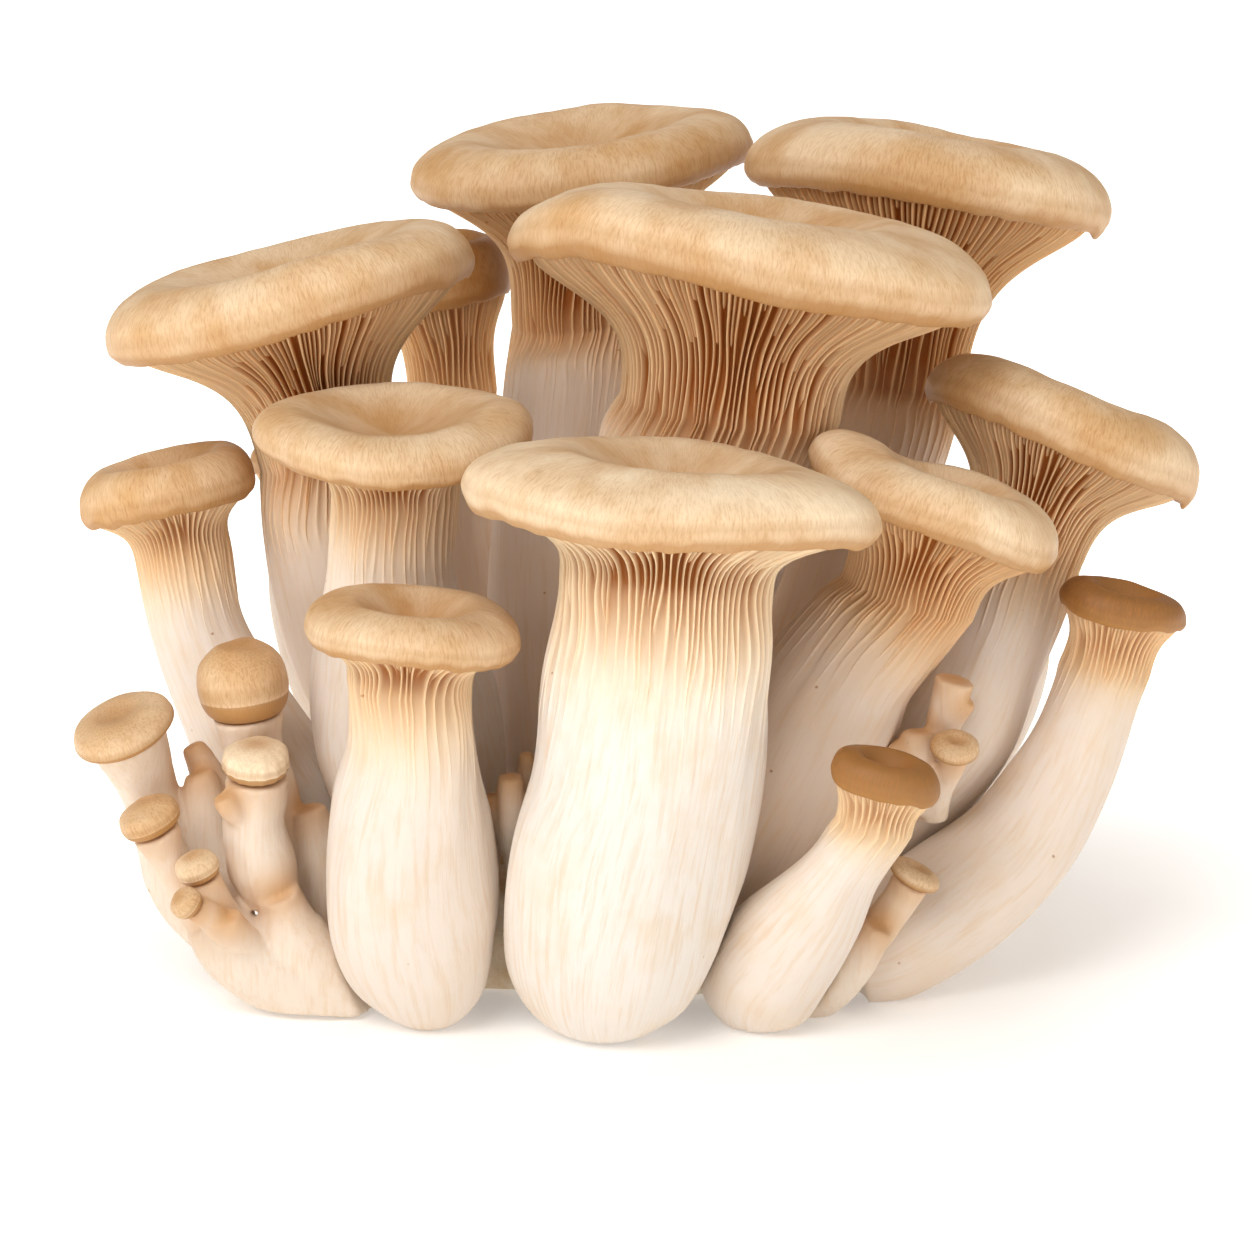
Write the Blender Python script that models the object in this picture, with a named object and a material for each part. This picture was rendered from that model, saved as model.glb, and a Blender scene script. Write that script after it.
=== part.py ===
"""King oyster mushroom cluster: a bunch of stems grown from one foot, each with its cap and gills.

Lengths in this file are millimetres until a mesh is finished, when MM turns them into metres.
X runs to the right of the bunch's front, Y to its back and Z up.
"""
import math
from dataclasses import dataclass

import bmesh
import bpy
from mathutils import Matrix, Vector

MM = 0.001
COLLECTION = "king_oyster_mushroom_cluster"

# The bunch is laid out from its tallest front stem; this moves its box's bottom centre to the origin.
ORIGIN = Vector((3.0, 64.9, 0.0))

# Gap between pieces that touch, and the wider one kept where flat facets meet a round neighbour.
SEAM = 0.4
CONTACT = 0.9

# The cut foot that the rear stems grow from: its middle, half width, half depth and height.
FOOT_CENTRE = Vector((-4.0, 58.0, 0.0))
FOOT_WIDTH = 58.0
FOOT_DEPTH = 40.0
FOOT_HEIGHT = 18.0
FOOT_SECTION = ((0.93, 0.0), (1.0, 0.25), (0.99, 0.6), (0.9, 0.9), (0.78, 1.0))
FOOT_SIDES = 28

# Waves that keep the round forms from being true circles: share of the radius, lobes round the turn.
FOOT_WAVES = ((0.04, 5.0), (0.03, 8.0))
RIM_WAVES = ((0.025, 2.0), (0.022, 3.0), (0.012, 5.0))
STEM_WAVES = ((0.04, 2.0), (0.025, 3.0))
RIM_LIFT_SHARE = 0.022

# Cap section: shares of the cap's radius and of its height. The rim runs from the lip to the widest
# point, the shoulder on to the crest by shares of the way, and the hollow lies inside the crest, by
# shares of the crest's radius.
LIP_IN = 0.89
RECESS_SHARE = 0.16
RIM = ((0.95, 0.00), (0.99, 0.14), (1.00, 0.34))
SHOULDER = ((0.12, 0.64), (0.45, 0.89), (1.00, 1.00))
HOLLOW = ((0.76, 0.86), (0.46, 0.56))
DIMPLE = 0.38

# Gills: how far the grooves between them cut in, as a share of their spacing at the neck, and the
# drops below the rim, in flare lengths, where the mesh has its rings. The flare narrows to the neck
# by an exponential of this power.
GROOVE_SHARE = 0.33
FAINT_GROOVE = 0.45
GILL_INSET = 0.03
FLARE_RINGS = (0.0, 0.35, 0.9, 1.6, 2.6)
FLARE_END = 2.6
FLARE_POWER = 1.3
GILL_TAIL = 0.55
LOWER_RINGS = 6
SMALL_LOWER_RINGS = 5
SMALL_CAP_GILLS = 15

# How far a point may be pulled towards its centre to leave room, and the halvings that find it.
STEM_PULL = 0.85
PIN_PULL = 0.95
HALVINGS = 9

PIN_CLEAR = 0.6
PIN_LIFT = 0.4

CREAM = (0.80, 0.70, 0.52)
FOOT_CREAM = (0.70, 0.58, 0.38)
TAN = (0.55, 0.40, 0.24)
BROWN = (0.42, 0.26, 0.12)


@dataclass(frozen=True)
class Mushroom:
    """One mushroom: stem stations from foot to neck, then its cap."""
    name: str
    stations: tuple
    cap: tuple
    width: float
    depth: float
    height: float
    right_down: float
    front_down: float
    flare: float
    gills: int
    on_foot: bool = True
    flat: bool = True
    lobes: tuple = ()
    crest: float = 0.6
    lean: tuple = (0.0, 0.0)


# Stations are x, y, z and radius. Lobes are azimuth, spread, outward push and lift of the rim. The
# crest is a share of the cap's radius, and lean is how far the neck stands off the cap's own axis.
MUSHROOMS = (
    Mushroom(
        "front_tall",
        ((-4, 3, 0, 7), (-4.5, 1, 8, 18), (-3, 0, 21, 22.5), (0, 0, 36, 24), (3.5, 0, 50, 23),
         (5.5, 0, 65, 22.5), (7, 0, 80, 21.5)),
        (9, -1, 105.5), 41.5, 30, 13.5, 5.5, 1, 4.5, 24, False, crest=0.58,
    ),
    Mushroom(
        "front_left",
        ((-41, 9, 0, 6), (-41.5, 7, 8, 14), (-43.5, 6, 20, 17.5), (-44.5, 5, 32, 17.5),
         (-44, 4, 46, 15.5), (-43, 2, 59, 12.8)),
        (-43, 0, 80.5), 22.5, 18, 9, 5, 6, 3, 15, False,
    ),
    Mushroom(
        "middle_left",
        ((-38, 40, 18, 12), (-42, 40, 34, 17), (-45.5, 39, 48, 19), (-47.5, 38, 62, 19),
         (-48.5, 36, 76, 16), (-49, 34, 90, 13.5)),
        (-48, 30, 114.5), 29, 24, 9.5, -1, 9, 3.5, 21,
        lobes=((180, 35, 1.5, 2.5), (0, 35, 1, 1)), crest=0.72,
    ),
    Mushroom(
        "left_large",
        ((-37, 64, 18, 11), (-46, 70, 36, 13), (-55, 73, 52, 14), (-60, 73, 66, 14.5),
         (-63, 72, 80, 15), (-65, 71, 94, 15.5)),
        (-71, 68, 138), 41, 32, 14, -12.5, 1, 12, 24,
        lobes=((180, 35, 1, -3),), crest=0.74,
    ),
    Mushroom(
        "left_small",
        ((-57, 46, 18, 9), (-66, 47, 28, 12), (-77, 50, 42, 13), (-86, 54, 58, 12),
         (-92, 57, 72, 10.5)),
        (-97.5, 60, 98), 19.5, 16, 11, -11, 3, 4, 15,
        lobes=((140, 40, 0, -2.2),), crest=0.68,
    ),
    Mushroom(
        "back_middle",
        ((-12, 68, 18, 12), (-15, 79, 40, 13.5), (-17, 90, 62, 14), (-17, 101, 84, 14),
         (-15, 112, 106, 14.5)),
        (-10.5, 127.5, 162), 39.5, 32.5, 12, -5.5, 5, 13, 24,
        lobes=((-130, 40, 0, -3), (-20, 30, -2.5, 0)), crest=0.72, lean=(-5, 0),
    ),
    Mushroom(
        "middle_large",
        ((2, 46, 18, 15), (3, 50, 38, 18), (5, 53, 58, 20), (9, 56, 78, 21.5), (14, 57, 101, 23.5)),
        (25, 50, 146.5), 50, 34, 17, 7.5, 3, 10, 24,
        lobes=((-135, 30, 0, 5.5), (-106, 18, 0, 2.4), (-80, 35, 0, 1.5), (180, 25, 0, -4),
               (45, 30, 0, -2.5)),
    ),
    Mushroom(
        "back_right",
        ((24, 66, 18, 12), (32, 76, 42, 13), (41, 85, 62, 14), (49, 93, 82, 14.5),
         (56, 100, 101, 15)),
        (68, 111, 159), 42, 30, 15, 9, -1, 16.5, 24,
        lobes=((180, 35, 0, -3), (135, 30, 0, -2), (0, 40, 0, -3.5)),
    ),
    Mushroom(
        "back_left",
        ((-24, 88, 18, 9), (-31, 100, 40, 10), (-37, 114, 64, 10), (-41, 130, 90, 10.5)),
        (-43.5, 146, 132), 17.5, 14.5, 14, -6, 6, 9, 12, crest=0.7,
    ),
    Mushroom(
        "right_inner",
        ((20, 26, 18, 11), (28, 27, 34, 14), (35, 29, 48, 16), (41, 31, 60, 16),
         (47.5, 32, 71, 14.5)),
        (63.5, 33, 98), 27, 19, 12, 19, 0, 6, 21,
        lobes=((180, 26, 4.5, 4.5), (120, 30, -1, -2), (70, 30, 0, 1.5)),
    ),
    Mushroom(
        "right_outer",
        ((38, 46, 18, 11), (50, 45, 30, 13.5), (60, 47, 42, 15), (69, 51, 54, 15.5),
         (77, 57, 69, 14)),
        (93, 66, 109), 32, 24, 14, 21, -6, 9, 21,
        lobes=((0, 35, 0, -3),),
    ),
    Mushroom(
        "right_low",
        ((47, 21, 8, 9), (56, 23, 11.5, 12), (70, 29, 20, 13), (83, 34, 31, 12.3),
         (92.5, 38, 45, 10.7), (98.5, 40, 59, 9.4)),
        (104, 41, 77.5), 14, 10.5, 6.5, 13, 4, 4, 12, False, False,
    ),
    Mushroom(
        "front_small",
        ((25, 8, 0, 6), (26.5, 4.5, 8, 12.5), (33, 1, 18, 12.3), (39, -2, 27, 10.2),
         (44, -4, 35.5, 8)),
        (51, -6, 52), 11.5, 10, 7, 11, 5, 3, 12, False,
        lobes=((180, 35, 0, 2),),
    ),
    Mushroom(
        "hidden_left",
        ((-50, 84, 18, 8), (-61, 88, 38, 8.5), (-69, 92, 57, 8.5), (-72, 95, 74, 8.5)),
        (-71, 100, 98), 14, 12, 8, 0, -6, 5, 12,
    ),
    Mushroom(
        "hidden_right",
        ((46, 66, 18, 7), (68, 70, 30, 8), (80, 76, 44, 7.5), (86, 80, 58, 7)),
        (85, 84, 74), 9.5, 8, 6, -6, 0, 4, 10,
    ),
)


@dataclass(frozen=True)
class Pin:
    """A young mushroom: stations from its root up, and the half width and height of its cap."""
    stations: tuple
    cap: tuple = ()
    name: str = ""


PIN_SIDES = 7
PIN_CAP_SIDES = 9
PIN_CAP_SECTION = ((0.78, 0.0), (0.97, 0.12), (1.0, 0.36), (0.88, 0.74), (0.52, 0.98))
PIN_BALL_SECTION = ((0.68, 0.0), (0.91, 0.14), (1.0, 0.42), (0.90, 0.75), (0.55, 0.96))

# Each bunch of pins is one body of pale flesh, with the brown caps as pieces on it.
PIN_BUNCHES = {
    "left_pins": (
        Pin(((-68, 21, 1.5, 6), (-83, 24, 11.7, 6.5), (-93.5, 26, 22, 6.4), (-97.5, 27, 34.8, 6),
             (-100, 25.5, 45, 6.2), (-103.4, 22, 55.8, 8.3)), (10.9, 6.5), "flat"),
        Pin(((-78, 14, 10, 5), (-87, 14, 20, 5), (-92, 13.5, 28, 4.5), (-95, 12.5, 34.3, 4.3),
             (-96.8, 11.5, 38.8, 5.2)), (6.4, 6.6), "tilted"),
        Pin(((-82, 11, 18, 4), (-85.5, 8.2, 25.6, 4), (-87, 6.9, 30, 4)), (4.6, 5.6), "round"),
        Pin(((-80, 8, 16, 3.6), (-84.5, 3, 22.5, 3.2), (-88, 0.6, 25.6, 2.6)), (3.6, 4.4), "low"),
        Pin(((-78, 8, 15, 3.6), (-80.5, 4, 20, 3.4), (-81.6, 2.5, 23, 3))),
        Pin(((-56, 13, 1, 8), (-68, 12.5, 5.5, 8.2), (-80, 13, 12.5, 8), (-86, 13, 20, 6.4))),
        Pin(((-67, 29, 2, 6), (-72, 30, 27, 6), (-75, 28.5, 43, 6), (-78, 27.5, 53, 6.2),
             (-78.8, 27, 59.5, 7.4)), (9.9, 15.5), "domed"),
        Pin(((-73, 17, 21.4, 5), (-75.4, 15.5, 30, 7.2), (-77, 15, 39.1, 6.4), (-76.2, 15, 45.5, 6.2),
             (-76.1, 14.2, 49.5, 6.6)), (7.2, 7.4), "bell"),
        Pin(((-77, 13, 39, 2.6), (-81, 9.5, 44, 2.6), (-82.5, 8.5, 47, 2.4))),
        Pin(((-56, 14, 0.6, 8.2), (-63.7, 13, 7.5, 8.2), (-69.1, 13, 16.1, 7), (-71.1, 13, 22.5, 5),
             (-72, 12, 25.4, 4.6))),
        Pin(((-62, 28, 14, 5), (-64.5, 28, 28, 5.4), (-67, 27.5, 39.5, 3.8))),
        Pin(((-82, 19, 13, 5.5), (-86, 25, 31, 5), (-88.4, 25, 44, 4), (-89.6, 25, 47.6, 2.8))),
        Pin(((-84, 28, 36, 4), (-88, 30, 46, 3.6), (-91, 30, 52.5, 2.4))),
        Pin(((-57, 17, 0, 10), (-58, 17, 6, 9.5), (-60, 18, 12, 6))),
    ),
    "right_pins": (
        Pin(((62, 31, 38, 4), (64.5, 28, 50, 3.6), (66, 26.5, 59, 3.6), (68, 25.5, 67.5, 4.2))),
        Pin(((63, 30, 48, 2.6), (67.5, 26.5, 58, 2.4), (70.4, 25, 63.2, 2.4))),
        Pin(((60, 30, 38, 4), (60, 24, 48, 3.8), (60.4, 23.6, 54.6, 4), (60.6, 23.6, 57, 3))),
        Pin(((64, 31, 36, 3.4), (65, 25, 44, 3), (67, 19.5, 50, 2.8), (67.4, 18, 53.5, 3.4)),
            (5.3, 3.6), "wide"),
        Pin(((60, 31, 40, 3), (56.5, 24.5, 49, 2.6), (56.6, 24, 54.5, 2.4))),
    ),
    "front_twin": (
        Pin(((36, 14, 0, 5), (43, 12, 8, 4.8), (50.5, 10, 17, 4.2), (56, 8.5, 25, 3.8),
             (58.2, 8, 29, 4.2)), (5.6, 3.4), "curled"),
        Pin(((36, 12, 0, 4.6), (43, 8, 7, 4.6), (48, 6, 14, 4.2), (51.5, 5, 20.5, 3.4))),
    ),
    "middle_pins": (
        Pin(((-20, 33, 18.4, 5), (-21.5, 24, 26, 3.6), (-23.5, 16, 35, 2.9), (-23.8, 14, 43, 3.3),
             (-23.8, 13, 50, 2.6))),
        Pin(((-22, 22, 28, 2.4), (-27.5, 16, 41, 2.3), (-28.6, 15, 45.5, 1.6))),
        Pin(((-20, 31, 20, 3), (-20.6, 22, 44, 2.2), (-20.8, 21, 53, 1.6))),
    ),
}


def smooth_step(value):
    value = min(max(value, 0.0), 1.0)
    return value * value * (3.0 - 2.0 * value)


def catmull(points, place):
    """Read a smooth curve through equally spaced points at place, from 0 to len(points) - 1."""
    index = min(int(place), len(points) - 2)
    part = place - index
    before = points[max(index - 1, 0)]
    start, end = points[index], points[index + 1]
    after = points[min(index + 2, len(points) - 1)]
    return (start * 2.0 + (end - before) * part
            + (before * 2.0 - start * 5.0 + end * 4.0 - after) * part ** 2
            + (start * 3.0 - before - end * 3.0 + after) * part ** 3) * 0.5


class Form:
    """The curved surface of one mushroom, shared by its stem and cap meshes."""

    def __init__(self, plan, seed):
        self.plan = plan
        self.seed = seed
        self.centre = Vector(plan.cap)
        self.turn = (Matrix.Rotation(math.radians(plan.right_down), 3, "Y")
                     @ Matrix.Rotation(math.radians(plan.front_down), 3, "X"))
        self.axis = self.turn @ Vector((0.0, 0.0, 1.0))
        self.lean = Vector((*plan.lean, 0.0))
        self.neck_radius = plan.stations[-1][3]
        self.neck_drop = plan.flare * FLARE_END
        neck = self.centre + self.lean - self.axis * self.neck_drop
        self.line = [Vector(station[:3]) for station in plan.stations] + [neck]
        self.radii = [station[3] for station in plan.stations] + [self.neck_radius]
        self.samples = [self.station(step / 4.0) for step in range(4 * len(self.line) - 3)]

    def station(self, place):
        return catmull(self.line, place), catmull(self.radii, place)

    def direction(self, place):
        last = len(self.line) - 1.0
        ahead = catmull(self.line, min(place + 0.1, last))
        behind = catmull(self.line, max(place - 0.1, 0.0))
        along = (ahead - behind).normalized()
        return along.lerp(self.axis, smooth_step(place - last + 1.0)).normalized()

    def outline(self, angle):
        """Share of the plain radius that the wavy cap reaches at an angle."""
        waves = (share * math.cos(lobes * angle + turn * self.seed)
                 for turn, (share, lobes) in enumerate(RIM_WAVES, start=1))
        return 1.0 + sum(waves)

    def rim_lift(self, angle):
        wave = math.cos(2.0 * angle + 1.7 * self.seed) + math.cos(3.0 * angle + 2.3 * self.seed)
        return RIM_LIFT_SHARE * self.plan.width * wave

    def on_cap(self, angle, share, height):
        """A point in the cap's own tilted frame; the waves fade towards its middle."""
        reach = 1.0 + (self.outline(angle) - 1.0) * share
        lift = self.rim_lift(angle) * share ** 2
        for azimuth, spread, push, rise in self.plan.lobes:
            turn = (math.degrees(angle) - azimuth + 180.0) % 360.0 - 180.0
            amount = math.exp(-(turn / spread) ** 2) * share ** 2
            reach += amount * push / self.plan.width
            lift += amount * rise
        flat = Vector((math.cos(angle) * self.plan.width, math.sin(angle) * self.plan.depth, 0.0))
        local = flat * share * reach
        local.z = height + lift
        return self.centre + self.turn @ local

    def flare_radius(self, drop):
        """Share of the cap's radius that the gills' edges reach at a drop below the rim."""
        neck = self.neck_radius / self.plan.width
        spread = math.exp(-(drop / self.plan.flare) ** FLARE_POWER)
        return neck + (LIP_IN - GILL_INSET - neck) * spread

    def on_flare(self, angle, drop, groove, recess):
        """A point on the gills under the cap, pushed in by the groove between two of them."""
        step = SEAM / 2.0
        ahead = self.flare_radius(drop + step) - self.flare_radius(max(drop - step, 0.0))
        run = Vector((ahead * self.plan.width, -2.0 * step)).normalized()
        share = self.flare_radius(drop)
        blend = smooth_step(drop / self.neck_drop)
        flat = self.on_cap(angle, share, 0.0) - self.centre
        outward = self.turn @ Vector((math.cos(angle), math.sin(angle), 0.0))
        place = self.centre + flat.lerp(outward * self.neck_radius + self.lean, blend)
        place -= self.axis * drop
        inward = outward * run.y + self.axis * -run.x
        return place + inward * min(groove, drop + recess - 2.0 * SEAM)

    def on_stem(self, angle, place, groove):
        """A point on the stem below the gills."""
        centre, radius = self.station(place)
        along = self.direction(place)
        side = Vector((0.0, 1.0, 0.0)).cross(along).normalized()
        back = along.cross(side)
        (wide, wide_lobes), (tight, tight_lobes) = STEM_WAVES
        wave = wide * math.cos(wide_lobes * angle + self.seed + place)
        wave += tight * math.cos(tight_lobes * angle - self.seed - 1.5 * place)
        bulge = 1.0 + wave * smooth_step(len(self.line) - 1.0 - place)
        outward = side * math.cos(angle) + back * math.sin(angle)
        return centre, centre + outward * (radius * bulge - groove)


def signed_distance(point, samples):
    """Distance from a point to the side of a stem, less than zero inside it."""
    best = 1e9
    for (start, start_radius), (end, end_radius) in zip(samples, samples[1:]):
        run = end - start
        part = min(max((point - start).dot(run) / run.length_squared, 0.0), 1.0)
        radius = start_radius + (end_radius - start_radius) * part
        best = min(best, (point - start - run * part).length - radius)
    return best


def make_room(point, centre, own, others):
    """Pull a surface point towards its own centre until the neighbours have half of the contact."""
    for other in others:
        if signed_distance(point, other.samples) > CONTACT:
            continue
        low, high = 0.0, STEM_PULL
        for _ in range(HALVINGS):
            middle = (low + high) / 2.0
            moved = point.lerp(centre, middle)
            gap = signed_distance(moved, other.samples) - signed_distance(moved, own.samples)
            if gap < CONTACT:
                low = middle
            else:
                high = middle
        point = point.lerp(centre, high)
    return point


def turned(levels, sides):
    """Spin a straight profile into a closed unit body: a pole, a ring at each level, a pole."""
    shell = bmesh.new()
    heights = [0.0] + [float(level) for level in range(levels)] + [levels - 1.0]
    shares = [0.0] + [1.0] * levels + [0.0]
    verts = [shell.verts.new((share, 0.0, height)) for share, height in zip(shares, heights)]
    edges = [shell.edges.new(pair) for pair in zip(verts, verts[1:])]
    bmesh.ops.spin(shell, geom=verts + edges, axis=(0, 0, 1), cent=(0, 0, 0), steps=sides,
                   angle=2.0 * math.pi)
    bmesh.ops.remove_doubles(shell, verts=shell.verts, dist=1e-4)
    bmesh.ops.recalc_face_normals(shell, faces=shell.faces)
    return shell


def polar(vert, sides):
    """Column, angle, level and share of a vertex in the unit body that turned makes."""
    angle = math.atan2(vert.co.y, vert.co.x)
    column = round(angle * sides / (2.0 * math.pi)) % sides
    return column, 2.0 * math.pi * column / sides, round(vert.co.z), round(math.hypot(vert.co.x, vert.co.y))


def widen_columns(shell, sides, step, below):
    """Weld the columns under a level together, so that only every step-th one goes on."""
    rings = {}
    for vert in shell.verts:
        column, _, level, share = polar(vert, sides)
        if share and level <= below:
            rings[(level, column)] = vert
    moves = {}
    for (level, column), vert in rings.items():
        nearest = round(column / step) * step % sides
        if nearest != column:
            moves[vert] = rings[(level, nearest)]
    bmesh.ops.weld_verts(shell, targetmap=moves)


def finish(shell, name, colour, roughness):
    """Turn a finished shell into an object, in metres and about the bunch's own origin."""
    for vert in shell.verts:
        vert.co = (vert.co - ORIGIN) * MM
    bmesh.ops.triangulate(shell, faces=shell.faces)
    bmesh.ops.recalc_face_normals(shell, faces=shell.faces)
    mesh = bpy.data.meshes.new(name)
    shell.to_mesh(mesh)
    shell.free()
    mesh.materials.append(skin(name, colour, roughness))
    mesh.shade_smooth()
    part = bpy.data.objects.new(name, mesh)
    bpy.data.collections[COLLECTION].objects.link(part)
    return part


def skin(name, colour, roughness):
    material = bpy.data.materials.new(name)
    material.use_nodes = True
    shader = material.node_tree.nodes["Principled BSDF"]
    shader.inputs["Base Color"].default_value = (*colour, 1.0)
    shader.inputs["Roughness"].default_value = roughness
    shader.inputs["Metallic"].default_value = 0.0
    return material


def stem_shell(form, others):
    """The stem with its gills, closed by a flat top under the cap and a cut foot."""
    plan = form.plan
    last = len(form.line) - 1.0
    sides = 2 * plan.gills
    step = 3 if plan.gills > SMALL_CAP_GILLS else 2
    spacing = 2.0 * math.pi * form.neck_radius / plan.gills
    groove_depth = GROOVE_SHARE * spacing
    recess = RECESS_SHARE * plan.height
    count = LOWER_RINGS if plan.gills > SMALL_CAP_GILLS else SMALL_LOWER_RINGS
    lower = [last * ring / count for ring in range(count)]
    stem_rings = lower + [last - GILL_TAIL]
    drops = [ring * plan.flare for ring in reversed(FLARE_RINGS)]
    levels = len(stem_rings) + len(drops) + 1
    shell = turned(levels, sides)
    widen_columns(shell, sides, step, len(lower) - 1)
    floor = FOOT_HEIGHT + SEAM if plan.on_foot else 0.0
    for vert in shell.verts:
        column, angle, level, share = polar(vert, sides)
        groove = groove_depth if column % 2 else 0.0
        if level < len(stem_rings):
            place = stem_rings[level]
            groove *= FAINT_GROOVE if level == len(stem_rings) - 1 else 0.0
            centre, point = form.on_stem(angle, place, groove)
            point = make_room(point, centre, form, others) if share else centre
            point.z = max(point.z, floor)
            if level == 0 and plan.flat:
                point.z = floor
        elif level < levels - 1:
            point = form.on_flare(angle, drops[level - len(stem_rings)], groove, recess)
        else:
            share *= form.flare_radius(0.0)
            point = form.on_cap(angle, share, recess - SEAM)
        vert.co = point
    return shell


def cap_shell(form):
    """The cap: a recess over the gills, a rolled rim, a crest and a hollow."""
    plan = form.plan
    recess = RECESS_SHARE * plan.height
    section = [*RIM]
    section += [(1.0 - way * (1.0 - plan.crest), rise) for way, rise in SHOULDER]
    section += [(share * plan.crest, rise) for share, rise in HOLLOW]
    rings = [(LIP_IN, recess)]
    rings += [(share, rise * plan.height) for share, rise in section]
    if plan.gills < SMALL_CAP_GILLS:
        rings = rings[:-1]
    sides = max(plan.gills, 12)
    shell = turned(len(rings), sides)
    for vert in shell.verts:
        _, angle, level, share = polar(vert, sides)
        if share:
            reach, rise = rings[level]
            vert.co = form.on_cap(angle, reach, rise)
        elif level:
            vert.co = form.on_cap(0.0, 0.0, DIMPLE * plan.height)
        else:
            vert.co = form.on_cap(0.0, 0.0, recess)
    return shell


def pin_axis(pin):
    """Direction of the last stretch of a young stem, which its cap sits square to."""
    return (Vector(pin.stations[-1][:3]) - Vector(pin.stations[-2][:3])).normalized()


def pin_shell(pin, forms):
    """A young stem: a bent tube, narrowed where a grown stem stands in its way."""
    line = [Vector(station[:3]) for station in pin.stations]
    radii = [station[3] for station in pin.stations]
    last = len(line) - 1
    shell = turned(last + 1, PIN_SIDES)
    for vert in shell.verts:
        _, angle, level, share = polar(vert, PIN_SIDES)
        centre = line[level]
        along = (line[min(level + 1, last)] - line[max(level - 1, 0)]).normalized()
        if level == last:
            along = pin_axis(pin)
        side = Vector((0.0, 1.0, 0.0)).cross(along).normalized()
        outward = side * math.cos(angle) + along.cross(side) * math.sin(angle)
        point = centre + outward * radii[level] * share
        for form in forms:
            point = keep_out(point, centre, form)
        point.z = max(point.z, line[0].z)
        vert.co = point
    return shell


def keep_out(point, centre, form):
    """Pull a point towards its own centre until it is clear of a grown stem."""
    if signed_distance(point, form.samples) > PIN_CLEAR:
        return point
    low, high = 0.0, PIN_PULL
    for _ in range(HALVINGS):
        middle = (low + high) / 2.0
        if signed_distance(point.lerp(centre, middle), form.samples) < PIN_CLEAR:
            low = middle
        else:
            high = middle
    return point.lerp(centre, high)


def pin_cap_shell(pin):
    """A young cap, a small dome square to the end of its stem."""
    width, height = pin.cap
    section = PIN_BALL_SECTION if height > width else PIN_CAP_SECTION
    top = Vector(pin.stations[-1][:3])
    axis = pin_axis(pin)
    side = Vector((0.0, 1.0, 0.0)).cross(axis).normalized()
    back = axis.cross(side)
    shell = turned(len(section), PIN_CAP_SIDES)
    for vert in shell.verts:
        _, angle, level, share = polar(vert, PIN_CAP_SIDES)
        reach, rise = section[level]
        if not share and level:
            rise = 0.9 if height < width else 1.0
        spoke = (side * math.cos(angle) + back * math.sin(angle)) * reach * share
        vert.co = top + spoke * width + axis * (rise * height + PIN_LIFT)
    return shell


def fuse(name, pieces):
    """Join the overlapping pieces of a bunch into one body."""
    body, rest = pieces[0], pieces[1:]
    if rest:
        helper = bpy.data.collections.new(name + "_pieces")
        for piece in rest:
            helper.objects.link(piece)
        join = body.modifiers.new("join", "BOOLEAN")
        join.operation = "UNION"
        join.solver = "EXACT"
        join.operand_type = "COLLECTION"
        join.collection = helper
        graph = bpy.context.evaluated_depsgraph_get()
        mesh = bpy.data.meshes.new_from_object(body.evaluated_get(graph))
        body.modifiers.clear()
        body.data = mesh
        for piece in rest:
            bpy.data.objects.remove(piece)
        bpy.data.collections.remove(helper)
    body.name = name
    return body


def foot_shell(forms):
    """The cut foot: a low flat body with its edge bulging, dented by the front stems."""
    shell = turned(len(FOOT_SECTION), FOOT_SIDES)
    for vert in shell.verts:
        _, angle, level, share = polar(vert, FOOT_SIDES)
        reach, rise = FOOT_SECTION[level]
        wave = 1.0 + sum(size * math.cos(lobes * angle) for size, lobes in FOOT_WAVES)
        flat = Vector((math.cos(angle) * FOOT_WIDTH, math.sin(angle) * FOOT_DEPTH, 0.0))
        point = FOOT_CENTRE + flat * reach * share * wave
        point.z = rise * FOOT_HEIGHT
        centre = FOOT_CENTRE + Vector((0.0, 0.0, point.z))
        for form in forms:
            if not form.plan.on_foot:
                point = keep_out(point, centre, form)
        vert.co = point
    return shell


def main():
    for old in list(bpy.data.objects):
        bpy.data.objects.remove(old)
    collection = bpy.data.collections.new(COLLECTION)
    bpy.context.scene.collection.children.link(collection)
    forms = [Form(plan, seed) for seed, plan in enumerate(MUSHROOMS, start=1)]
    for form in forms:
        others = [other for other in forms if other is not form]
        finish(stem_shell(form, others), "stem_" + form.plan.name, CREAM, 0.55)
        finish(cap_shell(form), "cap_" + form.plan.name, TAN, 0.5)
    finish(foot_shell(forms), "foot", FOOT_CREAM, 0.6)
    for bunch, pins in PIN_BUNCHES.items():
        stems = [finish(pin_shell(pin, forms), bunch, CREAM, 0.55) for pin in pins]
        fuse(bunch, stems)
        for pin in pins:
            if pin.cap:
                finish(pin_cap_shell(pin), "cap_pin_" + pin.name, BROWN, 0.5)


main()
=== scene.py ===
"""The looks of a king oyster mushroom cluster: flesh, gills, cap skin, foot, pins, floor and light.

Lengths in the pieces' own plans are millimetres in the bunch's layout, as they were drawn; a piece's
mesh is moved into the CAD frame, in metres, when it is made.
"""
import math
from dataclasses import dataclass

import bpy
import numpy as np
from mathutils import Matrix, Vector


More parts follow.
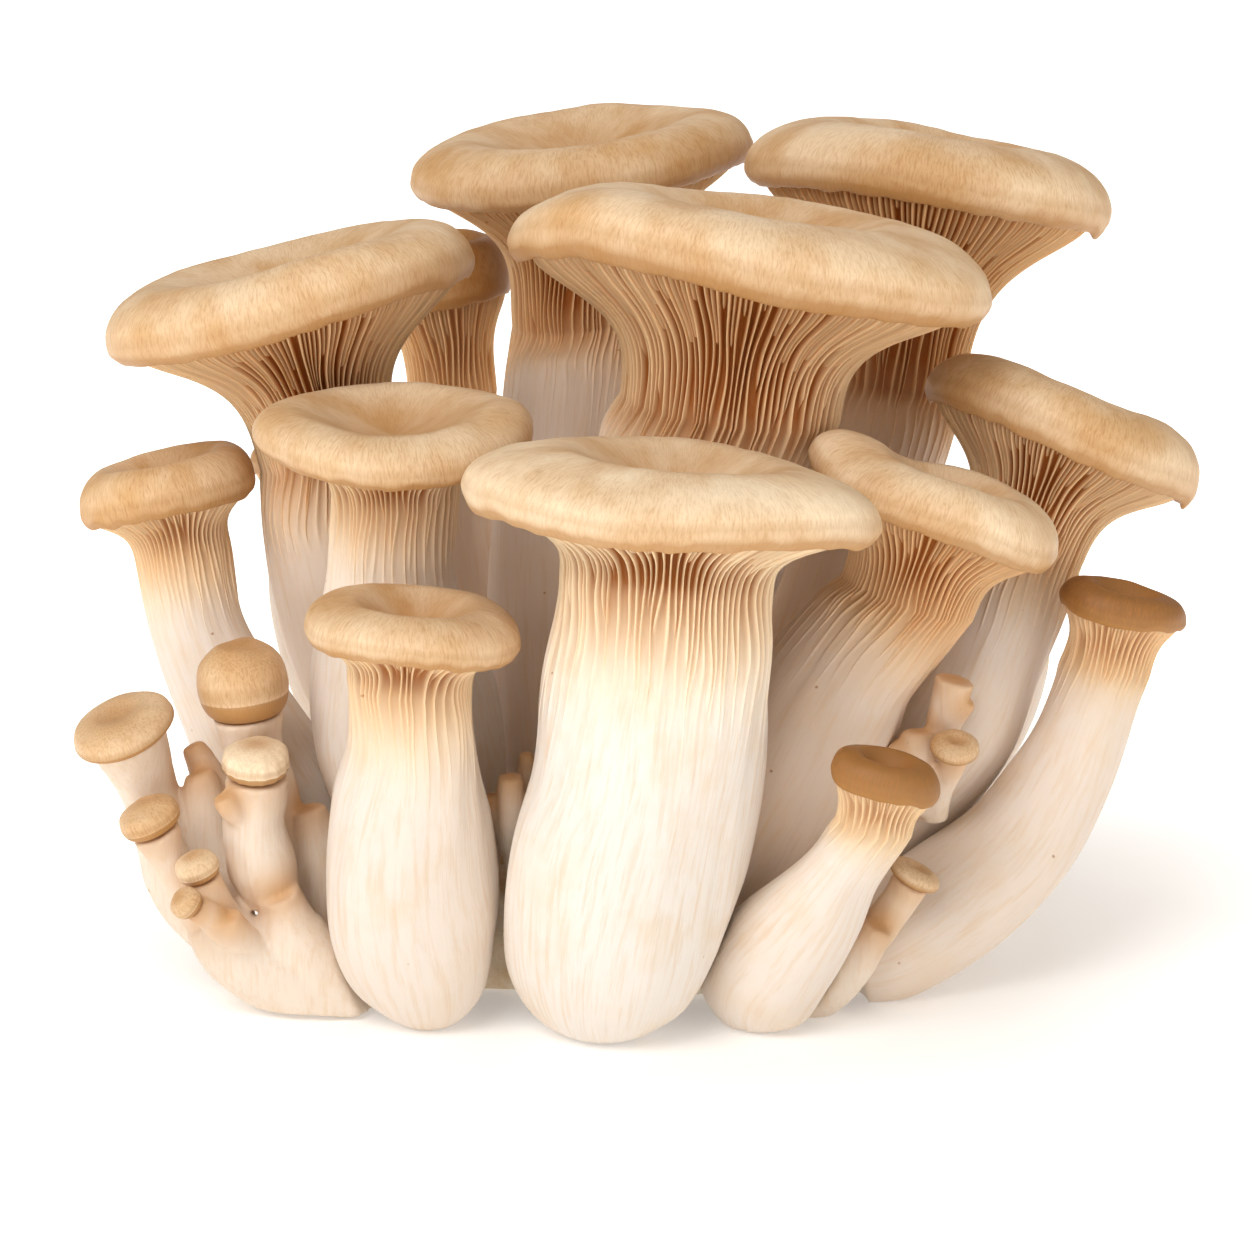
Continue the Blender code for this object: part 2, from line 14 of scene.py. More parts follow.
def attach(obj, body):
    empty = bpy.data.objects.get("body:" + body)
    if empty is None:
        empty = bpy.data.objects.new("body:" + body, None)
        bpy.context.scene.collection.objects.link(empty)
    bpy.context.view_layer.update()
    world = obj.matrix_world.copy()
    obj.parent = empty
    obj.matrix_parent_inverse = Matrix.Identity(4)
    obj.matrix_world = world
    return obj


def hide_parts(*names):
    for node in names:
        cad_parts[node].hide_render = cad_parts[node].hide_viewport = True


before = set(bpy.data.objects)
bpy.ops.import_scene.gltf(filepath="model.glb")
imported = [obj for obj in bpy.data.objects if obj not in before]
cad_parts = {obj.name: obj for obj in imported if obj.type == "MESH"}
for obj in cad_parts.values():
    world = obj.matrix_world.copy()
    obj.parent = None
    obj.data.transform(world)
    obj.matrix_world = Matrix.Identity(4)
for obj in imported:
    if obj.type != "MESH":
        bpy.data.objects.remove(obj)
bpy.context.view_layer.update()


# Stem and gill flesh
#
# The real piece is the mushroom's own flesh: packed white threads full of water, with no skin over
# it. It grew, so nothing was machined or coated: the eye sees a soft matt cream that light sinks
# into, turning amber where it passes through the thin gills. The grooves between the gills get painted
# shade.

def linear(code):
    """An sRGB hex colour as the linear RGBA that shaders take."""
    parts = [int(code[start:start + 2], 16) / 255.0 for start in (0, 2, 4)]
    flat = [part / 12.92 if part <= 0.04045 else ((part + 0.055) / 1.055) ** 2.4 for part in parts]
    return (*flat, 1.0)


def add(tree, kind, inputs, **settings):
    """Add a node with its settings; an input is a plain value or the socket that it is linked to."""
    made = tree.nodes.new(kind)
    for name, value in settings.items():
        setattr(made, name, value)
    for name, value in inputs.items():
        if isinstance(value, bpy.types.NodeSocket):
            tree.links.new(value, made.inputs[name])
        else:
            made.inputs[name].default_value = value
    return made


def new_material(name):
    material = bpy.data.materials.new(name)
    material.use_nodes = True
    return material, material.node_tree, material.node_tree.nodes["Principled BSDF"]


MIX_A, MIX_B, MIX_OUT = 6, 7, 2


def blend(tree, share, tint, code):
    """Lay a colour over a tint by a share; the tint is a colour too, or an earlier blend."""
    below = linear(tint) if isinstance(tint, str) else tint.outputs[MIX_OUT]
    return add(tree, "ShaderNodeMix", {0: share, MIX_A: below, MIX_B: linear(code)}, data_type="RGBA")


flesh, tree, shader = new_material("mushroom_stem_flesh")
# "grain" runs in millimetres round and along the stem, with the along part last.
grain = add(tree, "ShaderNodeAttribute", {}, attribute_name="grain").outputs["Vector"]
valley = add(tree, "ShaderNodeAttribute", {}, attribute_name="valley").outputs["Fac"]
gilled = add(tree, "ShaderNodeAttribute", {}, attribute_name="gilled").outputs["Fac"]
warmth = add(tree, "ShaderNodeAttribute", {}, attribute_name="warmth").outputs["Fac"]
# Threads lie along the stem: 1 mm wide and about 12 mm long.
along = add(tree, "ShaderNodeVectorMath", {0: grain, 1: (1.0, 1.0, 0.08)}, operation="MULTIPLY")
threads = add(tree, "ShaderNodeTexNoise",
              {"Vector": along.outputs[0], "Scale": 1.0, "Detail": 4.0, "Roughness": 0.62})
# Damp patches are 8 to 15 mm across.
patches = add(tree, "ShaderNodeTexNoise",
              {"Vector": grain, "Scale": 0.085, "Detail": 3.0, "Roughness": 0.55})
tint = blend(tree, gilled, "F1E9E0", "F0D8B2")
# Painted shade: stems further back in the bunch, and most of all their flesh under the caps, are tinted
# a darker warm tan, with some of the flesh's own warmer tone; on the pins the same value gives the bare
# ends their tan.
tint = blend(tree, warmth, tint, "CE9450")
patch_share = add(tree, "ShaderNodeMapRange",
                  {"Value": patches.outputs["Fac"], "From Min": 0.5, "From Max": 0.78,
                   "To Min": 0.0, "To Max": 0.35})
tint = blend(tree, patch_share.outputs[0], tint, "E6C79E")
thread_share = add(tree, "ShaderNodeMapRange",
                   {"Value": threads.outputs["Fac"], "From Min": 0.48, "From Max": 0.72,
                    "To Min": 0.0, "To Max": 0.42})
tint = blend(tree, thread_share.outputs[0], tint, "DDBB90")
# Painted shade: the grooves between two gills are darkened by their depth, from cream at the edge to
# russet at the root.
groove_shade_share = add(tree, "ShaderNodeMapRange",
                   {"Value": valley, "From Min": 0.10, "From Max": 0.80, "To Min": 0.0,
                    "To Max": 0.95})
tint = blend(tree, groove_shade_share.outputs[0], tint, "9C5713")
# Crumbs of growing medium, under half a millimetre, sit here and there about 9 mm apart.
crumbs = add(tree, "ShaderNodeTexVoronoi", {"Vector": grain, "Scale": 0.11, "Randomness": 1.0})
crumb_share = add(tree, "ShaderNodeMapRange",
                  {"Value": crumbs.outputs["Distance"], "From Min": 0.02, "From Max": 0.045,
                   "To Min": 0.75, "To Max": 0.0})
tint = blend(tree, crumb_share.outputs[0], tint, "A9713C")
raised = add(tree, "ShaderNodeBump",
             {"Height": threads.outputs["Fac"], "Strength": 0.35, "Distance": 0.0004})
tree.links.new(tint.outputs[MIX_OUT], shader.inputs["Base Color"])
tree.links.new(raised.outputs["Normal"], shader.inputs["Normal"])
shader.inputs["Roughness"].default_value = 0.56
shader.inputs["IOR"].default_value = 1.38
shader.inputs["Specular IOR Level"].default_value = 0.42
shader.subsurface_method = "BURLEY"
shader.inputs["Subsurface Weight"].default_value = 0.25
shader.inputs["Subsurface Radius"].default_value = (1.0, 0.62, 0.3)
shader.inputs["Subsurface Scale"].default_value = 0.0012


# Grown mushrooms: the plans
#
# Fifteen mushrooms stand in the bunch, each a stem that swells above the foot and widens again into
# gills under its cap. They grew in one piece; their plans give both the stem and the cap.

@dataclass(frozen=True)
class Mushroom:
    """Stations are x, y, z and radius from foot to neck; lobes are azimuth, spread, push and lift.

    The crest is a share of the cap's radius, and lean is how far the neck stands off the cap's axis.
    """
    name: str
    stations: tuple
    cap: tuple
    width: float
    depth: float
    height: float
    right_down: float
    front_down: float
    flare: float
    gills: int
    tail: float
    # How much painted shade, a darker warm tan, the stem gets; highest for stems standing back in the
    # bunch.
    warmth: float = 0.0
    tan: float = 0.4
    on_foot: bool = True
    lobes: tuple = ()
    flaps: tuple = ()
    crest: float = 0.6
    lean: tuple = (0.0, 0.0)


MUSHROOMS = (
    Mushroom(
        "front_tall",
        ((-4, 3, 0, 7), (-4.5, 1, 8, 18), (-3, 0, 21, 22.5), (0, 0, 36, 24), (3.5, 0, 50, 23),
         (5.5, 0, 65, 22.5), (7, 0, 80, 21.5)),
        (9, -1, 105.5), 41.5, 30, 13.5, 5.5, 1, 4.5, 52, 44, 0.05, 0.1, False,
        flaps=((-163, 7, 1.3), (-28, 5, 0.9)), crest=0.58,
    ),
    Mushroom(
        "front_left",
        ((-41, 9, 0, 6), (-41.5, 7, 8, 14), (-43.5, 6, 20, 17.5), (-44.5, 5, 32, 17.5),
         (-44, 4, 46, 15.5), (-43, 2, 59, 12.8)),
        (-43, 0, 80.5), 22.5, 18, 9, 5, 6, 3, 34, 30, 0.25, 0.5, False,
    ),
    Mushroom(
        "middle_left",
        ((-38, 40, 18, 12), (-42, 40, 34, 17), (-45.5, 39, 48, 19), (-47.5, 38, 62, 19),
         (-48.5, 36, 76, 16), (-49, 34, 90, 13.5)),
        (-48, 30, 114.5), 29, 24, 9.5, -1, 9, 3.5, 38, 30, 0.2, 0.4,
        lobes=((180, 35, 1.5, 2.5), (0, 35, 1, 1)), crest=0.72,
    ),
    Mushroom(
        "left_large",
        ((-37, 64, 18, 11), (-46, 70, 36, 13), (-55, 73, 52, 14), (-60, 73, 66, 14.5),
         (-63, 72, 80, 15), (-65, 71, 94, 15.5)),
        (-71, 68, 138), 41, 32, 14, -12.5, 1, 12, 46, 34, 0.4, 0.55,
        lobes=((180, 35, 1, -3),), flaps=((-25, 6, 1.2),), crest=0.74,
    ),
    Mushroom(
        "left_small",
        ((-57, 46, 18, 9), (-66, 47, 28, 12), (-77, 50, 42, 13), (-86, 54, 58, 12),
         (-92, 57, 72, 10.5)),
        (-97.5, 60, 98), 19.5, 16, 11, -11, 3, 4, 30, 26, 0.25, 0.8,
        lobes=((140, 40, 0, -2.2),), crest=0.68,
    ),
    Mushroom(
        "back_middle",
        ((-12, 68, 18, 12), (-15, 79, 40, 13.5), (-17, 90, 62, 14), (-17, 101, 84, 14),
         (-15, 112, 106, 14.5)),
        (-10.5, 127.5, 162), 39.5, 32.5, 12, -5.5, 5, 13, 40, 40, 0.55, 0.65,
        lobes=((-130, 40, 0, -3), (-20, 30, -2.5, 0)), crest=0.72, lean=(-5, 0),
    ),
    Mushroom(
        "middle_large",
        ((2, 46, 18, 15), (3, 50, 38, 18), (5, 53, 58, 20), (9, 56, 78, 21.5), (14, 57, 101, 23.5)),
        (25, 50, 146.5), 50, 34, 17, 7.5, 3, 10, 56, 34, 0.45, 0.5,
        lobes=((-135, 30, 0, 5.5), (-106, 18, 0, 2.4), (-80, 35, 0, 1.5), (180, 25, 0, -4),
               (45, 30, 0, -2.5)),
        flaps=((-150, 6, 1.0),),
    ),
    Mushroom(
        "back_right",
        ((24, 66, 18, 12), (32, 76, 42, 13), (41, 85, 62, 14), (49, 93, 82, 14.5),
         (56, 100, 101, 15)),
        (68, 111, 159), 42, 30, 15, 9, -1, 16.5, 40, 36, 0.6, 0.5,
        lobes=((180, 35, 0, -3), (135, 30, 0, -2), (0, 40, 0, -3.5)), flaps=((-20, 6, 1.6),),
    ),
    Mushroom(
        "back_left",
        ((-24, 88, 18, 9), (-31, 100, 40, 10), (-37, 114, 64, 10), (-41, 130, 90, 10.5)),
        (-43.5, 146, 132), 17.5, 14.5, 14, -6, 6, 9, 24, 30, 0.5, 1.1, crest=0.7,
    ),
    Mushroom(
        "right_inner",
        ((20, 26, 18, 11), (28, 27, 34, 14), (35, 29, 48, 16), (41, 31, 60, 16),
         (47.5, 32, 71, 14.5)),
        (63.5, 33, 98), 27, 19, 12, 19, 0, 6, 38, 30, 0.6, 0.3,
        lobes=((180, 26, 4.5, 4.5), (120, 30, -1, -2), (70, 30, 0, 1.5)),
    ),
    Mushroom(
        "right_outer",
        ((38, 46, 18, 11), (50, 45, 30, 13.5), (60, 47, 42, 15), (69, 51, 54, 15.5),
         (77, 57, 69, 14)),
        (93, 66, 109), 32, 24, 14, 21, -6, 9, 40, 32, 0.35, 0.5,
        lobes=((0, 35, 0, -3),), flaps=((-12, 6, 1.4),),
    ),
    Mushroom(
        "right_low",
        ((47, 21, 8, 9), (56, 23, 11.5, 12), (70, 29, 20, 13), (83, 34, 31, 12.3),
         (92.5, 38, 45, 10.7), (98.5, 40, 59, 9.4)),
        (104, 41, 77.5), 14, 10.5, 6.5, 13, 4, 4, 24, 16, 0.4, 1.8, False,
    ),
    Mushroom(
        "front_small",
        ((25, 8, 0, 6), (26.5, 4.5, 8, 12.5), (33, 1, 18, 12.3), (39, -2, 27, 10.2),
         (44, -4, 35.5, 8)),
        (51, -6, 52), 11.5, 10, 7, 11, 5, 3, 20, 12, 0.25, 1.7, False,
        lobes=((180, 35, 0, 2),),
    ),
    Mushroom(
        "hidden_left",
        ((-50, 84, 18, 8), (-61, 88, 38, 8.5), (-69, 92, 57, 8.5), (-72, 95, 74, 8.5)),
        (-71, 100, 98), 14, 12, 8, 0, -6, 5, 16, 16, 0.3, 0.7,
    ),
    Mushroom(
        "hidden_right",
        ((46, 66, 18, 7), (68, 70, 30, 8), (80, 76, 44, 7.5), (86, 80, 58, 7)),
        (85, 84, 74), 9.5, 8, 6, -6, 0, 4, 14, 12, 0.3, 0.7,
    ),
)

MM = 0.001
ORIGIN = np.array((3.0, 64.9, 0.0))
FLARE_END = 2.6
FLARE_POWER = 1.3
GILL_EDGE = 0.888
LIP_IN = 0.90
RECESS_SHARE = 0.16
CONTACT = 0.4
HALVINGS = 9


def smooth_step(value):
    value = np.clip(value, 0.0, 1.0)
    return value * value * (3.0 - 2.0 * value)


def unit(vectors):
    return vectors / np.linalg.norm(vectors, axis=-1, keepdims=True)


def catmull(points, place):
    """Read a smooth curve through equally spaced points at each place."""
    index = np.minimum(place.astype(int), len(points) - 2)
    part = (place - index)[..., None]
    before = points[np.maximum(index - 1, 0)]
    start, end = points[index], points[index + 1]
    after = points[np.minimum(index + 2, len(points) - 1)]
    return (start * 2.0 + (end - before) * part
            + (before * 2.0 - start * 5.0 + end * 4.0 - after) * part ** 2
            + (start * 3.0 - before - end * 3.0 + after) * part ** 3) * 0.5


def ripple(points, size, seed):
    """Smooth lumps about that many millimetres across, from -1 to 1, the same for the same seed."""
    draw = np.random.default_rng(seed)
    heading = unit(draw.normal(size=(18, 3)))
    waves = heading * (2.0 * math.pi / (size * draw.uniform(1.3, 3.0, 18)))[:, None]
    return np.cos(points @ waves.T + draw.uniform(0, 2.0 * math.pi, 18)).sum(-1) / 6.0


class Form:
    """The curved surface of one mushroom, which its stem and cap share."""

    def __init__(self, plan, seed):
        self.plan = plan
        self.seed = seed
        self.centre = np.array(plan.cap, float)
        self.turn = np.array(Matrix.Rotation(math.radians(plan.right_down), 3, "Y")
                             @ Matrix.Rotation(math.radians(plan.front_down), 3, "X"))
        self.axis = self.turn[:, 2]
        self.lean = np.array((*plan.lean, 0.0))
        self.neck_drop = plan.flare * FLARE_END
        self.neck_radius = plan.stations[-1][3]
        neck = (*(self.centre + self.lean - self.axis * self.neck_drop), self.neck_radius)
        self.line = np.array([*plan.stations, neck], float)
        self.last = len(self.line) - 1.0
        self.samples = catmull(self.line, np.linspace(0.0, self.last, 4 * int(self.last) + 1))

    def direction(self, place):
        ahead = catmull(self.line[:, :3], np.minimum(place + 0.1, self.last))
        behind = catmull(self.line[:, :3], np.maximum(place - 0.1, 0.0))
        share = smooth_step(place - self.last + 1.0)[..., None]
        return unit(unit(ahead - behind) * (1.0 - share) + self.axis * share)

    def outline(self, angle):
        return (1.0 + 0.025 * np.cos(2.0 * angle + self.seed)
                + 0.022 * np.cos(3.0 * angle + 2.0 * self.seed)
                + 0.012 * np.cos(5.0 * angle + 3.0 * self.seed))

    def on_cap(self, angle, share, height):
        """Points in the cap's own tilted frame; the rim's waves fade towards its middle."""
        plan = self.plan
        reach = 1.0 + (self.outline(angle) - 1.0) * share
        wave = np.cos(2.0 * angle + 1.7 * self.seed) + np.cos(3.0 * angle + 2.3 * self.seed)
        lift = 0.022 * plan.width * wave * share ** 2
        for azimuth, spread, push, rise in plan.lobes:
            turn = (np.degrees(angle) - azimuth + 180.0) % 360.0 - 180.0
            amount = np.exp(-(turn / spread) ** 2) * share ** 2
            reach = reach + amount * push / plan.width
            lift = lift + amount * rise
        flat = np.stack([np.cos(angle) * plan.width * share * reach,
                         np.sin(angle) * plan.depth * share * reach, height + lift], -1)
        return self.centre + flat @ self.turn.T

    def flare_radius(self, drop):
        neck = self.neck_radius / self.plan.width
        spread = np.exp(-(drop / self.plan.flare) ** FLARE_POWER)
        return neck + (GILL_EDGE - neck) * spread

    def on_flare(self, angle, drop, groove):
        """Points on the gills under the cap, pushed in by the groove between two of them."""
        step = 0.2
        ahead = self.flare_radius(drop + step) - self.flare_radius(np.maximum(drop - step, 0.0))
        run = unit(np.stack([ahead * self.plan.width, np.full_like(drop, -2.0 * step)], -1))
        share = smooth_step(drop / self.neck_drop)[..., None]
        lift = 0.07 * self.plan.height * np.exp(-drop / 2.0)
        flat = self.on_cap(angle, self.flare_radius(drop), lift) - self.centre
        outward = np.stack([np.cos(angle), np.sin(angle), np.zeros_like(angle)], -1) @ self.turn.T
        place = flat * (1.0 - share) + (outward * self.neck_radius + self.lean) * share
        place = self.centre + place - self.axis * drop[..., None]
        inward = outward * run[..., 1:] - self.axis * run[..., :1]
        room = np.minimum(groove, drop + RECESS_SHARE * self.plan.height - 0.8)
        return place + inward * room[..., None]

    def on_stem(self, angle, place, groove):
        """Points on the stem below the gills, and the middle that each belongs to."""
        station = catmull(self.line, place)
        along = self.direction(place)
        side = unit(np.cross((0.0, 1.0, 0.0), along))
        back = np.cross(along, side)
        wave = 0.04 * np.cos(2.0 * angle + self.seed + place)
        wave = wave + 0.025 * np.cos(3.0 * angle - self.seed - 1.5 * place)
        bulge = 1.0 + wave * smooth_step(self.last - place)
        outward = side * np.cos(angle)[..., None] + back * np.sin(angle)[..., None]
        radius = station[..., 3] * bulge - groove
        return station[..., :3], station[..., :3] + outward * radius[..., None]


forms = [Form(plan, seed) for seed, plan in enumerate(MUSHROOMS, start=1)]


# Stems with their gills
#
# Each stem is one solid piece of flesh. Thin blades, the gills, run from under the cap's rim down the
# widening neck and die out on the stem as fine ribs; between the long blades stand shorter ones.

# A long gill, a shorter one halfway to the next, and a very short one in each half between them: the
# shares of a half pitch where the blade has its edge, its shoulder, its root and the groove.
HALF_PITCH = np.array((0.0, 0.10, 0.25, 0.5, 0.75, 0.90))
BLADE = np.array((0.0, 0.16, 0.86, 1.0, 1.0, 1.0))
# Below its gills a stem is smooth, with a quarter of the columns and with rings further apart.
COARSE = 4
RING_STEP = 1.05
FOOT_STEP = 1.5
WALK_STEPS = 400
# Grooves of this depth, in millimetres, get the full painted groove shade.
FULL_GROOVE_SHADE = 2.2
FOLD_DEPTH = 0.2
LUMP_DEPTH = 0.4
# Stems that grow from the foot start this high, just inside its top.
ON_FOOT_HEIGHT = 16.0


def away(points, samples):
    """Distance of each point from the side of a stem, less than zero inside it."""
    starts, runs = samples[:-1], samples[1:] - samples[:-1]
    lengths = (runs[:, :3] ** 2).sum(-1)
    best = np.full(len(points), np.inf)
    for start, run, length in zip(starts, runs, lengths):
        offset = points - start[:3]
        part = np.clip(offset @ run[:3] / length, 0.0, 1.0)
        gap = np.linalg.norm(offset - part[:, None] * run[:3], axis=-1)
        best = np.minimum(best, gap - start[3] - run[3] * part)
    return best


def make_room(points, middles, own, near, contact, pull=0.85):
    """Pull points towards their middles until each neighbour has half of what they share."""
    for other in near:
        close = np.flatnonzero(away(points, other.samples) < contact)
        if not len(close):
            continue
        start, middle = points[close], middles[close]
        low, high = np.zeros(len(close)), np.full(len(close), pull)
        for _ in range(HALVINGS):
            half = (low + high) / 2.0
            moved = start + (middle - start) * half[:, None]
            gap = away(moved, other.samples) - (away(moved, own.samples) if own else 0.0)
            low = np.where(gap < contact, half, low)
            high = np.where(gap < contact, high, half)
        points = points.copy()
        points[close] = start + (middle - start) * high[:, None]
    return points


def strip(upper, lower):
    """Faces between two rings of the same number of points, outer side out."""
    upper, lower = np.asarray(upper), np.asarray(lower)
    return np.stack([upper, lower, np.roll(lower, -1), np.roll(upper, -1)], -1).tolist()


def narrow(upper, lower):
    """Faces from a fine ring down to one that has a point for every few of its own."""
    step = len(upper) // len(lower)
    upper, lower = list(upper), list(lower)
    faces = []
    for index, point in enumerate(lower):
        after = lower[(index + 1) % len(lower)]
        span = [upper[(index * step + part) % len(upper)] for part in range(step, -1, -1)]
        faces.append([point, after, *span])
    return faces


def closed(index, top, bottom):
    """Faces of rings one under another, with an end point for the first ring and for the last."""
    faces = []
    for above, under in zip(index, index[1:]):
        faces += strip(above, under) if len(above) == len(under) else narrow(above, under)
    faces += [[top, one, two] for one, two in zip(index[0], np.roll(index[0], -1))]
    faces += [[bottom, two, one] for one, two in zip(index[-1], np.roll(index[-1], -1))]
    return faces


def make_piece(name, points, faces, material, **values):
    """A piece of the bunch from layout points and faces, with its values for the material."""
    mesh = bpy.data.meshes.new(name)
    mesh.from_pydata(((points - ORIGIN) * MM).tolist(), [], faces)
    for label, value in values.items():
        if np.ndim(value) == 2:
            mesh.attributes.new(label, "FLOAT_VECTOR", "POINT").data.foreach_set(
                "vector", value.astype(np.float32).ravel())
        else:
            full = np.broadcast_to(np.asarray(value, np.float32), len(points))
            mesh.attributes.new(label, "FLOAT", "POINT").data.foreach_set("value", full.copy())
    mesh.materials.append(material)
    mesh.shade_smooth()
    piece = bpy.data.objects.new(name, mesh)
    bpy.context.scene.collection.objects.link(piece)
    return piece


def stand_for(piece, node):
    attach(piece, "root")
    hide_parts(node)


def gill_grid(form, below):
    """Angle and groove share of every column at each distance below the rim."""
    plan = form.plan
    draw = np.random.default_rng(1000 + form.seed)
    count, tall = plan.gills, below[:, None]
    neck, tail = form.neck_drop, plan.tail
    calm = 0.35 + 0.65 * smooth_step(tall / (0.4 * neck))
    swing = np.sin(2.0 * math.pi * tall / draw.uniform(16.0, 38.0, count)
                   + draw.uniform(0.0, 2.0 * math.pi, count))
    still = 1.0 - smooth_step((tall - neck - 0.6 * tail) / (0.4 * tail))
    long_at = np.arange(count) + 0.10 * swing * calm * still + draw.uniform(-0.1, 0.1, count)
    next_at = np.roll(long_at, -1, axis=1)
    next_at[:, -1] += count
    # A shorter gill leans over and joins the long one beside it, or fades out in the groove.
    short_end = neck * draw.uniform(0.5, 1.0, count) + tail * draw.uniform(-0.1, 0.7, count)
    lean = draw.choice((-0.33, 0.0, 0.33), count)
    join = smooth_step((tall - 0.45 * short_end) / (0.55 * short_end))
    share = 0.5 + 0.05 * np.sin(tall / draw.uniform(3.0, 7.0, count) + np.arange(count)) * calm
    short_at = long_at + (next_at - long_at) * (share + lean * join * still)
    halves = [long_at[..., None] + (short_at - long_at)[..., None] * HALF_PITCH,
              short_at[..., None] + (next_at - short_at)[..., None] * HALF_PITCH]
    angle = np.concatenate(halves, -1).reshape(len(below), -1) * (2.0 * math.pi / count)
    long_end = neck + tail * draw.uniform(0.45, 1.0, count)
    long_there = 1.0 - smooth_step((tall - long_end) / 6.0 + 1.0)
    long_there = long_there * (1.0 - 0.16 * draw.random(count))
    short_there = (1.0 - smooth_step((tall - short_end) / 5.0 + 1.0)) * (1.0 - 0.2 * draw.random(count))
    brief_end = neck * draw.uniform(0.08, 0.62, (2, count))
    brief_there = [0.9 * (1.0 - smooth_step((tall - end) / 2.5 + 1.0)) for end in brief_end]
    fall, rise = 1.0 - BLADE, 1.0 - np.concatenate([[1.0], BLADE[:0:-1]])
    brief = np.array((0.0, 0.0, 0.12, 1.0, 0.12, 0.0))
    ahead_there = np.roll(long_there, -1, axis=1)
    first = [long_there[..., None] * fall, short_there[..., None] * rise,
             brief_there[0][..., None] * brief]
    second = [short_there[..., None] * fall, ahead_there[..., None] * rise,
              brief_there[1][..., None] * brief]
    height = np.concatenate([np.maximum.reduce(first), np.maximum.reduce(second)], -1)
    return angle, 1.0 - height.reshape(len(below), -1)


def groove_depth(form, below):
    """Depth of the grooves between the gills at each distance below the rim, in millimetres."""
    plan = form.plan
    deepest = 0.55 + 0.052 * plan.width
    past_neck = np.maximum(below - form.neck_drop, 0.0)
    narrowing = 1.0 - 0.5 * smooth_step((below - 0.45 * form.neck_drop) / (0.6 * form.neck_drop))
    return deepest * narrowing * np.exp(-(past_neck / (0.36 * plan.tail)) ** 1.15)


def stem_piece(form):
    plan = form.plan
    near = [other for other in forms if other is not form]
    # The stem's own length, walked from the neck down.
    places = np.linspace(form.last, 0.0, WALK_STEPS)
    walked = catmull(form.line[:, :3], places)
    lengths = np.concatenate([[0.0], np.linalg.norm(np.diff(walked, axis=0), axis=1).cumsum()])
    neck = form.neck_drop
    flare_below = np.linspace(0.0, neck, max(int(neck / RING_STEP), 10))
    tail_below = np.arange(RING_STEP, min(plan.tail, lengths[-1] - 6.0), 1.25 * RING_STEP)
    foot_rings = int((lengths[-1] - tail_below[-1]) / FOOT_STEP)
    foot_below = np.linspace(tail_below[-1] + FOOT_STEP, lengths[-1], foot_rings)
    below = np.concatenate([flare_below, neck + tail_below, neck + foot_below])
    angle, groove = gill_grid(form, below)
    depth = groove * groove_depth(form, below)[:, None]
    tall = np.broadcast_to(below[:, None], angle.shape)
    round_stem = np.stack([np.cos(angle) * form.neck_radius, np.sin(angle) * form.neck_radius, tall], -1)
    # Soft folds, longer than wide, and lumps of a finger's width keep the stem from being turned.
    past = smooth_step((tall - 0.5 * neck) / neck)
    folds = FOLD_DEPTH * ripple(round_stem * (1.0, 1.0, 0.16), 2.6, 40 + form.seed)
    lumps = LUMP_DEPTH * ripple(round_stem, 14.0, 80 + form.seed)
    uneven = (folds * (0.35 + 0.65 * (1.0 - smooth_step((tall - neck - plan.tail) / plan.tail)))
              + lumps) * past
    count, split = angle.shape[1], len(flare_below)
    upper = form.on_flare(angle[:split], tall[:split], depth[:split] + uneven[:split])
    place = np.interp(below[split:] - neck, lengths, places)
    place = np.broadcast_to(place[:, None], angle[split:].shape)
    middles, lower = form.on_stem(angle[split:], place, (depth + uneven)[split:])
    shape = lower.shape
    lower = make_room(lower.reshape(-1, 3), middles.reshape(-1, 3), form, near, CONTACT).reshape(shape)
    floor = ON_FOOT_HEIGHT if plan.on_foot else 0.0
    lower[..., 2] = np.maximum(lower[..., 2], floor)
    if plan.on_foot:
        lower[-1, :, 2] = floor
    roof_height = np.full(count, RECESS_SHARE * plan.height - 0.15)
    roof = form.on_cap(angle[0], np.full(count, GILL_EDGE), roof_height)
    fine = 1 + split + len(tail_below)
    rings = [roof, *upper, *lower]
    rings[fine:] = [ring[::COARSE] for ring in rings[fine:]]
    starts = np.cumsum([0] + [len(ring) for ring in rings])
    index = [np.arange(start, start + len(ring)) for start, ring in zip(starts, rings)]
    faces = closed(index, starts[-1], starts[-1] + 1)
    points = np.concatenate([*rings, roof.mean(0)[None], rings[-1].mean(0)[None]])

    def spread(rows, first, end):
        """A value for every point from its rings, with those of the two end points."""
        rows = [rows[0], *rows]
        rows[fine:] = [row[::COARSE] for row in rows[fine:]]
        return np.concatenate([*rows, [first], [end]])

    faded = 1.0 - smooth_step((tall - 0.75 * neck) / (0.25 * neck + 0.8 * plan.tail))
    # The painted groove shade: full in the grooves under the cap, fading down the stem.
    groove_shade_amount = spread(np.clip(depth / FULL_GROOVE_SHADE, 0.0, 1.0) * (0.35 + 0.65 * faded), 1.0, 0.0)
    shown = spread(faded, 1.0, 0.0)
    straight = spread(round_stem + (0.0, 0.0, 37.0 * form.seed), round_stem[0, 0], round_stem[-1, 0])
    # The painted shade is strongest on the gills and neck under the cap.
    piece = make_piece("stem_flesh_" + plan.name, points, faces, flesh, grain=straight,
                       valley=groove_shade_amount, gilled=shown, warmth=plan.warmth * (0.55 + 0.45 * shown))
    stand_for(piece, "stem_" + plan.name)
    return piece


for form in forms:
    stem_piece(form)


# Caps
#
# A cap is the same flesh under a dry tan skin about as thick as paper. Fine hairs lie in it, fanning
# out from the hollow to the rolled rim, and the rim's under edge is thin and a little torn; it is
# painted browner, partly the skin's own colour and partly painted shade.

